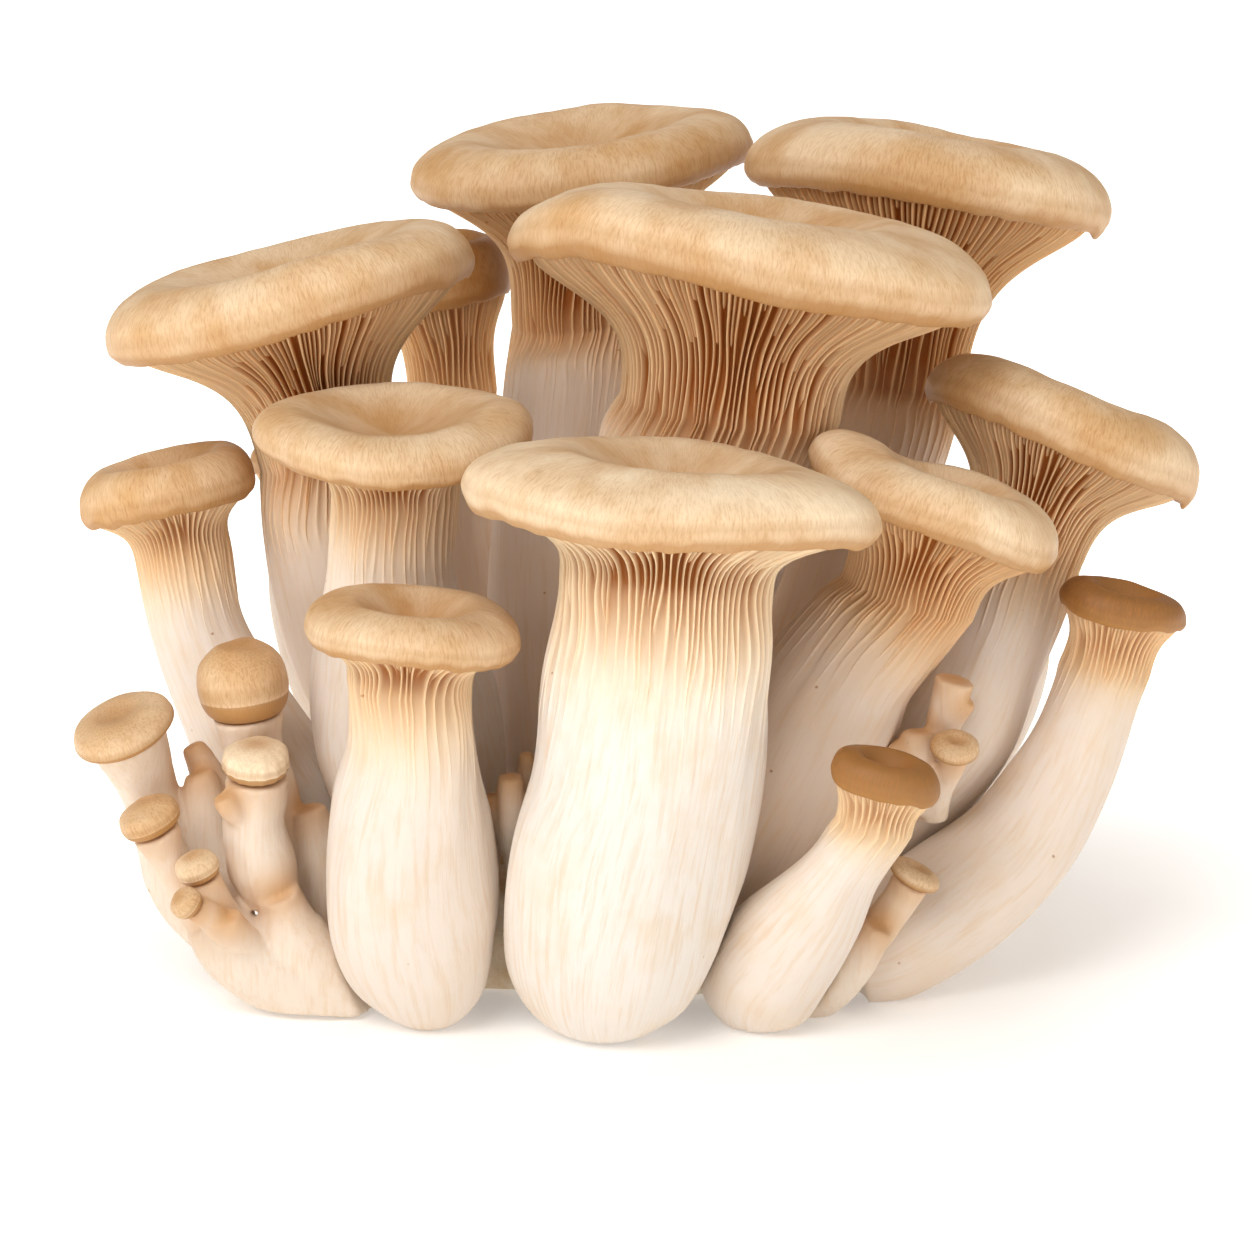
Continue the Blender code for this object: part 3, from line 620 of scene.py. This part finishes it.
skin, tree, shader = new_material("mushroom_cap_skin")
grain = add(tree, "ShaderNodeAttribute", {}, attribute_name="grain").outputs["Vector"]
share = add(tree, "ShaderNodeAttribute", {}, attribute_name="share").outputs["Fac"]
tan = add(tree, "ShaderNodeAttribute", {}, attribute_name="tan").outputs["Fac"]
clouds = add(tree, "ShaderNodeTexNoise",
             {"Vector": grain, "Scale": 0.055, "Detail": 3.0, "Roughness": 0.5})
# Hairs are about 0.4 mm wide and 2.6 mm long, a little wider than real ones so that they show.
bent = add(tree, "ShaderNodeTexNoise", {"Vector": grain, "Scale": 0.22, "Detail": 2.0})
sway = add(tree, "ShaderNodeVectorMath",
           {0: bent.outputs["Color"], 1: (1.6, 1.6, 1.6)}, operation="MULTIPLY")
swayed = add(tree, "ShaderNodeVectorMath", {0: grain, 1: sway.outputs[0]}, operation="ADD")
combed = add(tree, "ShaderNodeVectorMath",
             {0: swayed.outputs[0], 1: (1.0, 1.0, 0.16)}, operation="MULTIPLY")
hairs = add(tree, "ShaderNodeTexNoise",
            {"Vector": combed.outputs[0], "Scale": 2.4, "Detail": 4.0, "Roughness": 0.6})
cloud_share = add(tree, "ShaderNodeMapRange",
                  {"Value": clouds.outputs["Fac"], "From Min": 0.38, "From Max": 0.66,
                   "To Min": 0.0, "To Max": 0.75})
tone = add(tree, "ShaderNodeMath", {0: cloud_share.outputs[0], 1: tan}, operation="ADD")
tone = add(tree, "ShaderNodeMath", {0: tone.outputs[0], 1: 0.62}, operation="MULTIPLY",
           use_clamp=True)
tint = blend(tree, tone.outputs[0], "F8E2C1", "CA985A")
# The smallest grown caps are still as brown as chestnut.
young = add(tree, "ShaderNodeMapRange",
            {"Value": tan, "From Min": 1.0, "From Max": 2.0, "To Min": 0.0, "To Max": 0.95})
tint = blend(tree, young.outputs[0], tint, "7A4A20")
# The hollow is a shade browner than the rim.
inner = add(tree, "ShaderNodeMapRange",
            {"Value": share, "From Min": 0.15, "From Max": 0.7, "To Min": 0.55, "To Max": 0.0})
tint = blend(tree, inner.outputs[0], tint, "BF8749")
hair_share = add(tree, "ShaderNodeMapRange",
                 {"Value": hairs.outputs["Fac"], "From Min": 0.44, "From Max": 0.70,
                  "To Min": 0.0, "To Max": 1.0})
density = add(tree, "ShaderNodeMath", {0: tone.outputs[0], 1: 0.4, 2: 0.22},
              operation="MULTIPLY_ADD")
hair_share = add(tree, "ShaderNodeMath", {0: hair_share.outputs[0], 1: density.outputs[0]},
                 operation="MULTIPLY")
tint = blend(tree, hair_share.outputs[0], tint, "B07238")
# Painted shade, with some of the skin's own browner edge: the lower half of the rim, facing down and
# away from the light, is browner than the crest.
outer = add(tree, "ShaderNodeMapRange",
            {"Value": share, "From Min": 0.985, "From Max": 1.02, "To Min": 0.0, "To Max": 0.75})
tint = blend(tree, outer.outputs[0], tint, "AD7B42")
# Further in under the rim the brown is slightly lighter, again partly the skin's own colour and partly
# painted shade.
edge = add(tree, "ShaderNodeMapRange",
           {"Value": share, "From Min": 1.05, "From Max": 1.12, "To Min": 0.0, "To Max": 0.6})
tint = blend(tree, edge.outputs[0], tint, "BC8749")
raised = add(tree, "ShaderNodeBump",
             {"Height": hairs.outputs["Fac"], "Strength": 0.32, "Distance": 0.0004})
tree.links.new(tint.outputs[MIX_OUT], shader.inputs["Base Color"])
tree.links.new(raised.outputs["Normal"], shader.inputs["Normal"])
shader.inputs["Roughness"].default_value = 0.48
shader.inputs["IOR"].default_value = 1.4
shader.inputs["Specular IOR Level"].default_value = 0.45
shader.subsurface_method = "BURLEY"
shader.inputs["Subsurface Weight"].default_value = 0.1
shader.inputs["Subsurface Radius"].default_value = (1.0, 0.6, 0.35)
shader.inputs["Subsurface Scale"].default_value = 0.001

# Section of a cap in shares of its radius and of its height: the hollow inside the crest by shares of
# the crest's radius, the shoulder by shares of the way from the rim to the crest, then the rim itself.
DIMPLE = 0.38
HOLLOW = ((0.22, 0.42), (0.46, 0.56), (0.76, 0.86))
SHOULDER = ((1.0, 1.0), (0.45, 0.89), (0.12, 0.64))
RIM = ((1.0, 0.34), (0.99, 0.13), (0.95, 0.0), (0.915, 0.05), (LIP_IN, 0.16), (0.6, RECESS_SHARE),
       (0.3, RECESS_SHARE))
# Places along the section: the widest point, and the edge where the under side begins.
WIDEST = 7.0
UNDER_SIDE = 10.5
# In millimetres, but a dent's depth is a share of the cap's radius, and all sink by a share of that.
SKIN_INSET = 0.55
DENT_SHARE = 0.011
DENT_SINK = 0.9
PIT_DEPTH = 0.09
FRILL_DEPTH = 0.4


def cap_section(crest):
    """The section from the middle of the hollow over the crest, round the rim and in to the gills."""
    hollow = [(share * crest, rise) for share, rise in HOLLOW]
    shoulder = [(1.0 - way * (1.0 - crest), rise) for way, rise in SHOULDER]
    return np.array([(0.0, DIMPLE), *hollow, *shoulder, *RIM])


def cap_piece(form):
    plan = form.plan
    rows = 5 if plan.width > 25 else 4
    columns = 150 if plan.width > 36 else 108 if plan.width > 18 else 72
    place = np.concatenate([np.arange(0.0, 11.0, 1.0 / rows)[1:], [11.0, 12.0, 13.0]])
    section = catmull(cap_section(plan.crest), place)
    angle = np.linspace(0.0, 2.0 * math.pi, columns, endpoint=False)[None]
    reach, rise = section[:, :1], section[:, 1:]
    walked = np.concatenate([[0.0], np.linalg.norm(
        np.diff(section * (plan.width, plan.height), axis=0), axis=1).cumsum()])[:, None]
    spoke = np.stack(np.broadcast_arrays(np.cos(angle) * plan.width, np.sin(angle) * plan.width,
                                         walked + 29.0 * form.seed), -1)
    bloom = np.stack(np.broadcast_arrays(np.cos(angle) * reach * plan.width,
                                         np.sin(angle) * reach * plan.depth, rise * plan.height), -1)
    outer = smooth_step(reach)
    rim = smooth_step((reach - 0.88) / 0.1) * (1.0 - smooth_step((rise - 0.1) / 0.5))
    dents = DENT_SHARE * plan.width * (ripple(bloom, 0.3 * plan.width, 160 + form.seed) - DENT_SINK)
    pits = PIT_DEPTH * ripple(bloom, 3.2, 200 + form.seed)
    frill = FRILL_DEPTH * ripple(bloom, 2.4, 240 + form.seed) * rim
    torn = 0.0
    for azimuth, spread, drop in plan.flaps:
        turn = (np.degrees(angle) - azimuth + 180.0) % 360.0 - 180.0
        torn = torn + drop * np.exp(-(turn / spread) ** 2) * rim
    under = place[:, None] > UNDER_SIDE
    height = rise * plan.height + np.where(under, 0.0, dents * outer * rise + pits + frill - torn)
    share = reach * (1.0 - SKIN_INSET / plan.width) + np.where(under, 0.0, frill / plan.width * 0.6)
    angle, share, height = np.broadcast_arrays(angle, share, height)
    rings = form.on_cap(angle, share, height)
    index = np.arange(len(rings) * columns).reshape(len(rings), columns)
    middle = form.on_cap(np.zeros(1), np.zeros(1), np.full(1, DIMPLE * plan.height))
    seat = form.on_cap(np.zeros(1), np.zeros(1), np.full(1, RECESS_SHARE * plan.height))
    faces = closed(index, index.size, index.size + 1)
    points = np.concatenate([rings.reshape(-1, 3), middle, seat])
    # Past the widest point the share goes on counting, so that the skin knows its under side.
    under_share = np.where(place[:, None] > WIDEST, 1.0 + 1.5 * (1.0 - reach), reach)
    seen = np.broadcast_to(under_share, angle.shape).ravel()
    piece = make_piece("cap_skin_" + plan.name, points, faces, skin,
                       grain=np.concatenate([spoke.reshape(-1, 3), np.zeros((2, 3))]),
                       share=np.concatenate([seen, [0.0, 1.2]]), tan=plan.tan)
    stand_for(piece, "cap_" + plan.name)
    return piece


for form in forms:
    cap_piece(form)


# The foot
#
# The stems grew from a low cushion of the same flesh that was cut off flat where the bunch was
# harvested. Its side is lumpy and yellower than the stems, and it rises a little round each of them.

foot_flesh, tree, shader = new_material("mushroom_foot_flesh")
place = add(tree, "ShaderNodeAttribute", {}, attribute_name="grain").outputs["Vector"]
lumps = add(tree, "ShaderNodeTexNoise",
            {"Vector": place, "Scale": 0.16, "Detail": 5.0, "Roughness": 0.6})
pores = add(tree, "ShaderNodeTexNoise",
            {"Vector": place, "Scale": 0.9, "Detail": 4.0, "Roughness": 0.65})
lump_share = add(tree, "ShaderNodeMapRange",
                 {"Value": lumps.outputs["Fac"], "From Min": 0.38, "From Max": 0.66,
                  "To Min": 0.0, "To Max": 1.0})
tint = blend(tree, lump_share.outputs[0], "F0E2CC", "E2C69D")
pore_share = add(tree, "ShaderNodeMapRange",
                 {"Value": pores.outputs["Fac"], "From Min": 0.56, "From Max": 0.72,
                  "To Min": 0.0, "To Max": 0.35})
tint = blend(tree, pore_share.outputs[0], tint, "CBA06A")
raised = add(tree, "ShaderNodeBump",
             {"Height": pores.outputs["Fac"], "Strength": 0.5, "Distance": 0.0006})
tree.links.new(tint.outputs[MIX_OUT], shader.inputs["Base Color"])
tree.links.new(raised.outputs["Normal"], shader.inputs["Normal"])
shader.inputs["Roughness"].default_value = 0.66
shader.inputs["IOR"].default_value = 1.38
shader.subsurface_method = "BURLEY"
shader.inputs["Subsurface Weight"].default_value = 0.3
shader.inputs["Subsurface Radius"].default_value = (1.0, 0.5, 0.22)
shader.inputs["Subsurface Scale"].default_value = 0.002

FOOT_CENTRE = np.array((-4.0, 58.0, 0.0))
FOOT_WIDTH = 58.0
FOOT_DEPTH = 40.0
FOOT_HEIGHT = 18.0
# Section from the middle of the top out to the cut underside: share of radius, share of height.
FOOT_SECTION = np.array(((0.0, 1.0), (0.26, 1.0), (0.52, 1.0), (0.78, 1.0), (0.9, 0.9), (0.99, 0.6),
                         (1.0, 0.25), (0.93, 0.0)))
FOOT_COLUMNS = 180
# The flesh rises a little round each stem that grows from it; sizes in millimetres.
COLLAR_RISE = 4.5
COLLAR_REACH = 4.0
COLLAR_LEVEL = 19.0

place = np.linspace(0.0, len(FOOT_SECTION) - 1.0, 57)[1:]
section = catmull(FOOT_SECTION, place)
angle = np.linspace(0.0, 2.0 * math.pi, FOOT_COLUMNS, endpoint=False)[None]
reach, rise = section[:, :1], np.clip(section[:, 1:], 0.0, 1.0)
edge_wave = 1.0 + 0.04 * np.cos(5.0 * angle) + 0.03 * np.cos(8.0 * angle)
rings = np.stack(np.broadcast_arrays(
    FOOT_CENTRE[0] + np.cos(angle) * FOOT_WIDTH * reach * edge_wave,
    FOOT_CENTRE[1] + np.sin(angle) * FOOT_DEPTH * reach * edge_wave, rise * FOOT_HEIGHT), -1)
flat = rings.reshape(-1, 3).copy()
middles = np.stack(np.broadcast_arrays(FOOT_CENTRE[0], FOOT_CENTRE[1], flat[:, 2]), -1)
swell = unit(flat - middles + (0.0, 0.0, 1e-6))
lively = smooth_step(flat[:, 2] / 4.0)
flat -= swell * (0.7 + 0.7 * ripple(flat, 5.0, 300) * lively)[:, None]
flat[:, 2] += 0.5 * ripple(flat, 6.0, 301) * lively - 0.6 * lively
rooted = [form for form in forms if form.plan.on_foot]
level = flat * (1.0, 1.0, 0.0) + (0.0, 0.0, COLLAR_LEVEL)
collar = np.min([away(level, form.samples) for form in rooted], axis=0)
lifted = COLLAR_RISE * np.exp(-(np.maximum(collar, 0.0) / COLLAR_REACH) ** 2)
flat[:, 2] += lifted * smooth_step((flat[:, 2] - 8.0) / 8.0)
flat = make_room(flat, middles, None, [form for form in forms if not form.plan.on_foot], 0.3, 0.95)
index = np.arange(len(flat)).reshape(len(place), FOOT_COLUMNS)
faces = closed(index, len(flat), len(flat) + 1)
top = FOOT_CENTRE + (0.0, 0.0, flat[index[0], 2].mean())
flat = np.concatenate([flat, top[None], FOOT_CENTRE[None]])
foot = make_piece("foot_cut", flat, faces, foot_flesh, grain=flat)
stand_for(foot, "foot")


# Bunches of pins
#
# Pins are mushrooms that stopped young: bare pale stems mostly 5 to 15 mm thick, crowded together and
# grown into one another where they touch. They are the same flesh as the large stems.

PIN_BUNCHES = {
    "left_pins": (
        (((-68, 21, 1.5, 6), (-83, 24, 11.7, 6.5), (-93.5, 26, 22, 6.4), (-97.5, 27, 34.8, 6),
          (-100, 25.5, 45, 6.2), (-103.4, 22, 55.8, 8.3)), (10.9, 6.5), "flat", 0.3),
        (((-78, 14, 10, 5), (-87, 14, 20, 5), (-92, 13.5, 28, 4.5), (-95, 12.5, 34.3, 4.3),
          (-96.8, 11.5, 38.8, 5.2)), (6.4, 6.6), "tilted", 0.6),
        (((-82, 11, 18, 4), (-85.5, 8.2, 25.6, 4), (-87, 6.9, 30, 4)), (4.6, 5.6), "round", 0.3),
        (((-80, 8, 16, 3.6), (-84.5, 3, 22.5, 3.2), (-88, 0.6, 25.6, 2.6)), (3.6, 4.4), "low", 0.4),
        (((-78, 8, 15, 3.6), (-80.5, 4, 20, 3.4), (-81.6, 2.5, 23, 3)),),
        (((-56, 13, 1, 8), (-68, 12.5, 5.5, 8.2), (-80, 13, 12.5, 8), (-86, 13, 20, 6.4)),),
        (((-67, 29, 2, 6), (-72, 30, 27, 6), (-75, 28.5, 43, 6), (-78, 27.5, 53, 6.2),
          (-78.8, 27, 59.5, 7.4)), (9.9, 15.5), "domed", 0.6),
        (((-73, 17, 21.4, 5), (-75.4, 15.5, 30, 7.2), (-77, 15, 39.1, 6.4), (-76.2, 15, 45.5, 6.2),
          (-76.1, 14.2, 49.5, 6.6)), (7.2, 7.4), "bell", -0.2),
        (((-77, 13, 39, 2.6), (-81, 9.5, 44, 2.6), (-82.5, 8.5, 47, 2.4)),),
        (((-56, 14, 0.6, 8.2), (-63.7, 13, 7.5, 8.2), (-69.1, 13, 16.1, 7), (-71.1, 13, 22.5, 5),
          (-72, 12, 25.4, 4.6)),),
        (((-62, 28, 14, 5), (-64.5, 28, 28, 5.4), (-67, 27.5, 39.5, 3.8)),),
        (((-82, 19, 13, 5.5), (-86, 25, 31, 5), (-88.4, 25, 44, 4), (-89.6, 25, 47.6, 2.8)),),
        (((-84, 28, 36, 4), (-88, 30, 46, 3.6), (-91, 30, 52.5, 2.4)),),
        (((-57, 17, 0, 10), (-58, 17, 6, 9.5), (-60, 18, 12, 6)),),
    ),
    "right_pins": (
        (((62, 31, 38, 4), (64.5, 28, 50, 3.6), (66, 26.5, 59, 3.6), (68, 25.5, 67.5, 4.2)),),
        (((63, 30, 48, 2.6), (67.5, 26.5, 58, 2.4), (70.4, 25, 63.2, 2.4)),),
        (((60, 30, 38, 4), (60, 24, 48, 3.8), (60.4, 23.6, 54.6, 4), (60.6, 23.6, 57, 3)),),
        (((64, 31, 36, 3.4), (65, 25, 44, 3), (67, 19.5, 50, 2.8), (67.4, 18, 53.5, 3.4)),
         (5.3, 3.6), "wide", 0.6),
        (((60, 31, 40, 3), (56.5, 24.5, 49, 2.6), (56.6, 24, 54.5, 2.4)),),
    ),
    "front_twin": (
        (((36, 14, 0, 5), (43, 12, 8, 4.8), (50.5, 10, 17, 4.2), (56, 8.5, 25, 3.8),
          (58.2, 8, 29, 4.2)), (5.6, 3.4), "curled", 0.2),
        (((36, 12, 0, 4.6), (43, 8, 7, 4.6), (48, 6, 14, 4.2), (51.5, 5, 20.5, 3.4)),),
    ),
    "middle_pins": (
        (((-20, 33, 18.4, 5), (-21.5, 24, 26, 3.6), (-23.5, 16, 35, 2.9), (-23.8, 14, 43, 3.3),
          (-23.8, 13, 50, 2.6)),),
        (((-22, 22, 28, 2.4), (-27.5, 16, 41, 2.3), (-28.6, 15, 45.5, 1.6)),),
        (((-20, 31, 20, 3), (-20.6, 22, 44, 2.2), (-20.8, 21, 53, 1.6)),),
    ),
}
PIN_SIDES = 28
PIN_CLEAR = 0.3
WELD_VOXEL = 0.00065
TAN_END = 6.0


def pin_axis(stations):
    """Direction of the last stretch of a young stem, which its cap sits square to."""
    return unit(np.array(stations[-1][:3], float) - stations[-2][:3])


def pin_stem(stations):
    """A bent round stem with a soft end."""
    line = np.array(stations, float)
    last = len(line) - 1.0
    place = np.linspace(0.0, last, 10 * int(last) + 1)
    tube = catmull(line, place)
    ahead = catmull(line[:, :3], np.minimum(place + 0.1, last))
    along = unit(ahead - catmull(line[:, :3], np.maximum(place - 0.1, 0.0)))
    share = smooth_step(place - last + 1.0)[:, None]
    along = unit(along * (1.0 - share) + pin_axis(stations) * share)
    side = unit(np.cross((0.0, 1.0, 0.0), along))[:, None]
    back = np.cross(along[:, None], side)
    angle = np.linspace(0.0, 2.0 * math.pi, PIN_SIDES, endpoint=False)[None, :, None]
    rings = tube[:, None, :3] + (side * np.cos(angle) + back * np.sin(angle)) * tube[:, None, 3:]
    rings = rings[::-1]
    points = rings.reshape(-1, 3)
    middles = np.repeat(tube[::-1, :3], PIN_SIDES, axis=0)
    points = make_room(points, middles, None, forms, PIN_CLEAR, 0.95)
    points[:, 2] = np.maximum(points[:, 2], line[0, 2])
    index = np.arange(len(points)).reshape(len(place), PIN_SIDES)
    faces = closed(index, len(points), len(points) + 1)
    ends = np.array([tube[-1, :3], [*tube[0, :2], line[0, 2]]])
    return np.concatenate([points, ends]), faces


def grow_together(name, stems):
    """One skin over the overlapping stems of a bunch, as they grew."""
    points, faces, start = [], [], 0
    for own_points, own_faces in stems:
        points.append(own_points)
        faces += [[start + corner for corner in face] for face in own_faces]
        start += len(own_points)
    rough = make_piece(name + "_parts", np.concatenate(points), faces, flesh)
    weld = rough.modifiers.new("weld", "REMESH")
    weld.mode = "VOXEL"
    weld.voxel_size = WELD_VOXEL
    soften = rough.modifiers.new("soften", "SMOOTH")
    soften.factor = 0.5
    soften.iterations = 5
    graph = bpy.context.evaluated_depsgraph_get()
    mesh = bpy.data.meshes.new_from_object(rough.evaluated_get(graph))
    bpy.data.objects.remove(rough)
    found = np.zeros(len(mesh.vertices) * 3)
    mesh.vertices.foreach_get("co", found)
    polygons = [list(face.vertices) for face in mesh.polygons]
    bpy.data.meshes.remove(mesh)
    return found.reshape(-1, 3) / MM + ORIGIN, polygons


for bunch, pins in PIN_BUNCHES.items():
    points, faces = grow_together(bunch, [pin_stem(pin[0]) for pin in pins])
    outward = ripple(points * (1.0, 1.0, 0.3), 1.6, 400) * 0.12
    points[:, 0] += outward
    points[:, 1] += outward
    # The bare ends are as tan as a cap, and close under a cap the flesh gets the same warmer tint as
    # painted shade.
    ends = [np.linalg.norm(points - np.array(pin[0][-1][:3]), axis=-1) for pin in pins]
    tip = np.exp(-(np.min(ends, axis=0) / TAN_END) ** 2)
    piece = make_piece(bunch + "_flesh", points, faces, flesh, grain=points, valley=0.0, gilled=0.2,
                       warmth=0.12 + 0.75 * tip)
    stand_for(piece, bunch)


# Caps of the pins
#
# A pin's cap is small, and most are closed domes that haven't spread yet. It has the same skin as a
# grown cap, and it sits square on the end of its stem.

PIN_BALL_SECTION = np.array(((0.0, 1.0), (0.28, 0.985), (0.55, 0.95), (0.90, 0.75), (1.0, 0.42),
                             (0.91, 0.14), (0.68, 0.0), (0.35, 0.0)))
PIN_FLAT_SECTION = np.array(((0.0, 0.72), (0.26, 0.84), (0.52, 0.97), (0.88, 0.74), (1.0, 0.36),
                             (0.97, 0.12), (0.78, 0.0), (0.4, 0.0)))
PIN_LIFT = 0.3
PIN_CAP_COLUMNS = 56

seed = 500
for bunch, pins in PIN_BUNCHES.items():
    for pin in pins:
        if len(pin) == 1:
            continue
        stations, (width, height), name, tan_share = pin
        seed += 1
        axis = pin_axis(stations)
        side = unit(np.cross((0.0, 1.0, 0.0), axis))
        back = np.cross(axis, side)
        section = PIN_BALL_SECTION if height > width else PIN_FLAT_SECTION
        place = np.linspace(0.0, len(section) - 1.0, 36)[1:]
        read = catmull(section, place)
        angle = np.linspace(0.0, 2.0 * math.pi, PIN_CAP_COLUMNS, endpoint=False)[None]
        ribs = 0.022 * np.cos(15.0 * angle) if name == "bell" else 0.0
        wave = 1.0 + 0.03 * np.cos(2.0 * angle + seed) + 0.02 * np.cos(3.0 * angle + seed) + ribs
        across = read[:, :1] * wave * (width - 0.15)
        level = read[:, 1:] * height + PIN_LIFT + 0.0 * angle
        local = np.stack([across * np.cos(angle), across * np.sin(angle), level], -1)
        local[..., 2] += 0.035 * width * ripple(local, 0.45 * width, seed) * smooth_step(read[:, 1:])
        rings = (np.array(stations[-1][:3], float) + local[..., :1] * side + local[..., 1:2] * back
                 + local[..., 2:] * axis)
        index = np.arange(len(rings) * PIN_CAP_COLUMNS).reshape(len(rings), PIN_CAP_COLUMNS)
        faces = closed(index, index.size, index.size + 1)
        points = np.concatenate([rings.reshape(-1, 3), rings[0].mean(0)[None], rings[-1].mean(0)[None]])
        seen = np.broadcast_to(np.where(place[:, None] > 4.5, 1.1, read[:, :1]), local.shape[:2]).ravel()
        piece = make_piece("cap_pin_skin_" + name, points, faces, skin,
                           grain=np.concatenate([local.reshape(-1, 3) + 11.0 * seed, np.zeros((2, 3))]),
                           share=np.concatenate([seen, [0.0, 1.2]]), tan=tan_share + 0.1)
        stand_for(piece, "cap_pin_" + name)


# Floor, light and camera
#
# The bunch stands on a plain white sheet, lit by a wide soft light high on the left, with warm pale
# card all round. The camera looks slightly down from the front, about three quarters of a metre off.

paper, tree, shader = new_material("white_paper_sheet")
# Cartridge paper: matt and even, with a tooth too fine to show.
shader.inputs["Base Color"].default_value = linear("F7F6F4")
shader.inputs["Roughness"].default_value = 0.9
shader.inputs["Emission Color"].default_value = (1.0, 1.0, 1.0, 1.0)
# The sheet glows faintly under the bunch and fully from a quarter of a metre off its middle.
spot = add(tree, "ShaderNodeNewGeometry", {}).outputs["Position"]
reach = add(tree, "ShaderNodeVectorMath", {0: spot}, operation="LENGTH").outputs["Value"]
glow = add(tree, "ShaderNodeMapRange",
           {"Value": reach, "From Min": 0.09, "From Max": 0.26, "To Min": 0.24, "To Max": 1.0})
tree.links.new(glow.outputs[0], shader.inputs["Emission Strength"])
half, under = 8.0, -0.0002
mesh = bpy.data.meshes.new("sheet")
mesh.from_pydata([(-half, -half, under), (half, -half, under), (half, half, under),
                  (-half, half, under)], [], [(0, 1, 2, 3)])
mesh.materials.append(paper)
sheet = bpy.data.objects.new("sheet", mesh)
bpy.context.scene.collection.objects.link(sheet)

world = bpy.data.worlds.new("white_cards")
world.use_nodes = True
world.node_tree.nodes["Background"].inputs["Color"].default_value = (1.0, 0.94, 0.86, 1.0)
world.node_tree.nodes["Background"].inputs["Strength"].default_value = 0.42
bpy.context.scene.world = world

LIGHTS = {
    "key": ((-0.65, -1.05, 1.20), 1.1, 15.8),
    "fill": ((0.95, -0.9, 0.45), 1.0, 1.2),
    "back": ((0.1, 1.0, 1.1), 1.0, 2.5),
}
aim = Vector((0.0, 0.0, 0.08))
for name, (spot, size, power) in LIGHTS.items():
    lamp = bpy.data.lights.new(name, "AREA")
    lamp.size = size
    lamp.energy = power
    holder = bpy.data.objects.new(name, lamp)
    holder.location = spot
    holder.rotation_euler = (aim - Vector(spot)).to_track_quat("-Z", "Y").to_euler()
    bpy.context.scene.collection.objects.link(holder)

# The view is 18.6 degrees wide and 12 degrees down, with its middle 84 mm up the front stem.
DISTANCE = 0.766
LOOK_DOWN = math.radians(12.0)
middle = Vector((-ORIGIN[0] * MM, -ORIGIN[1] * MM, 0.084))
lens = bpy.data.cameras.new("camera")
lens.sensor_width = 36.0
lens.lens = 110.0
lens.clip_start = 0.05
camera = bpy.data.objects.new("camera", lens)
camera.location = middle + Vector((0.0, -math.cos(LOOK_DOWN), math.sin(LOOK_DOWN))) * DISTANCE
camera.rotation_euler = (math.pi / 2.0 - LOOK_DOWN, 0.0, 0.0)
bpy.context.scene.collection.objects.link(camera)
bpy.context.scene.camera = camera
bpy.context.scene.view_settings.view_transform = "Standard"
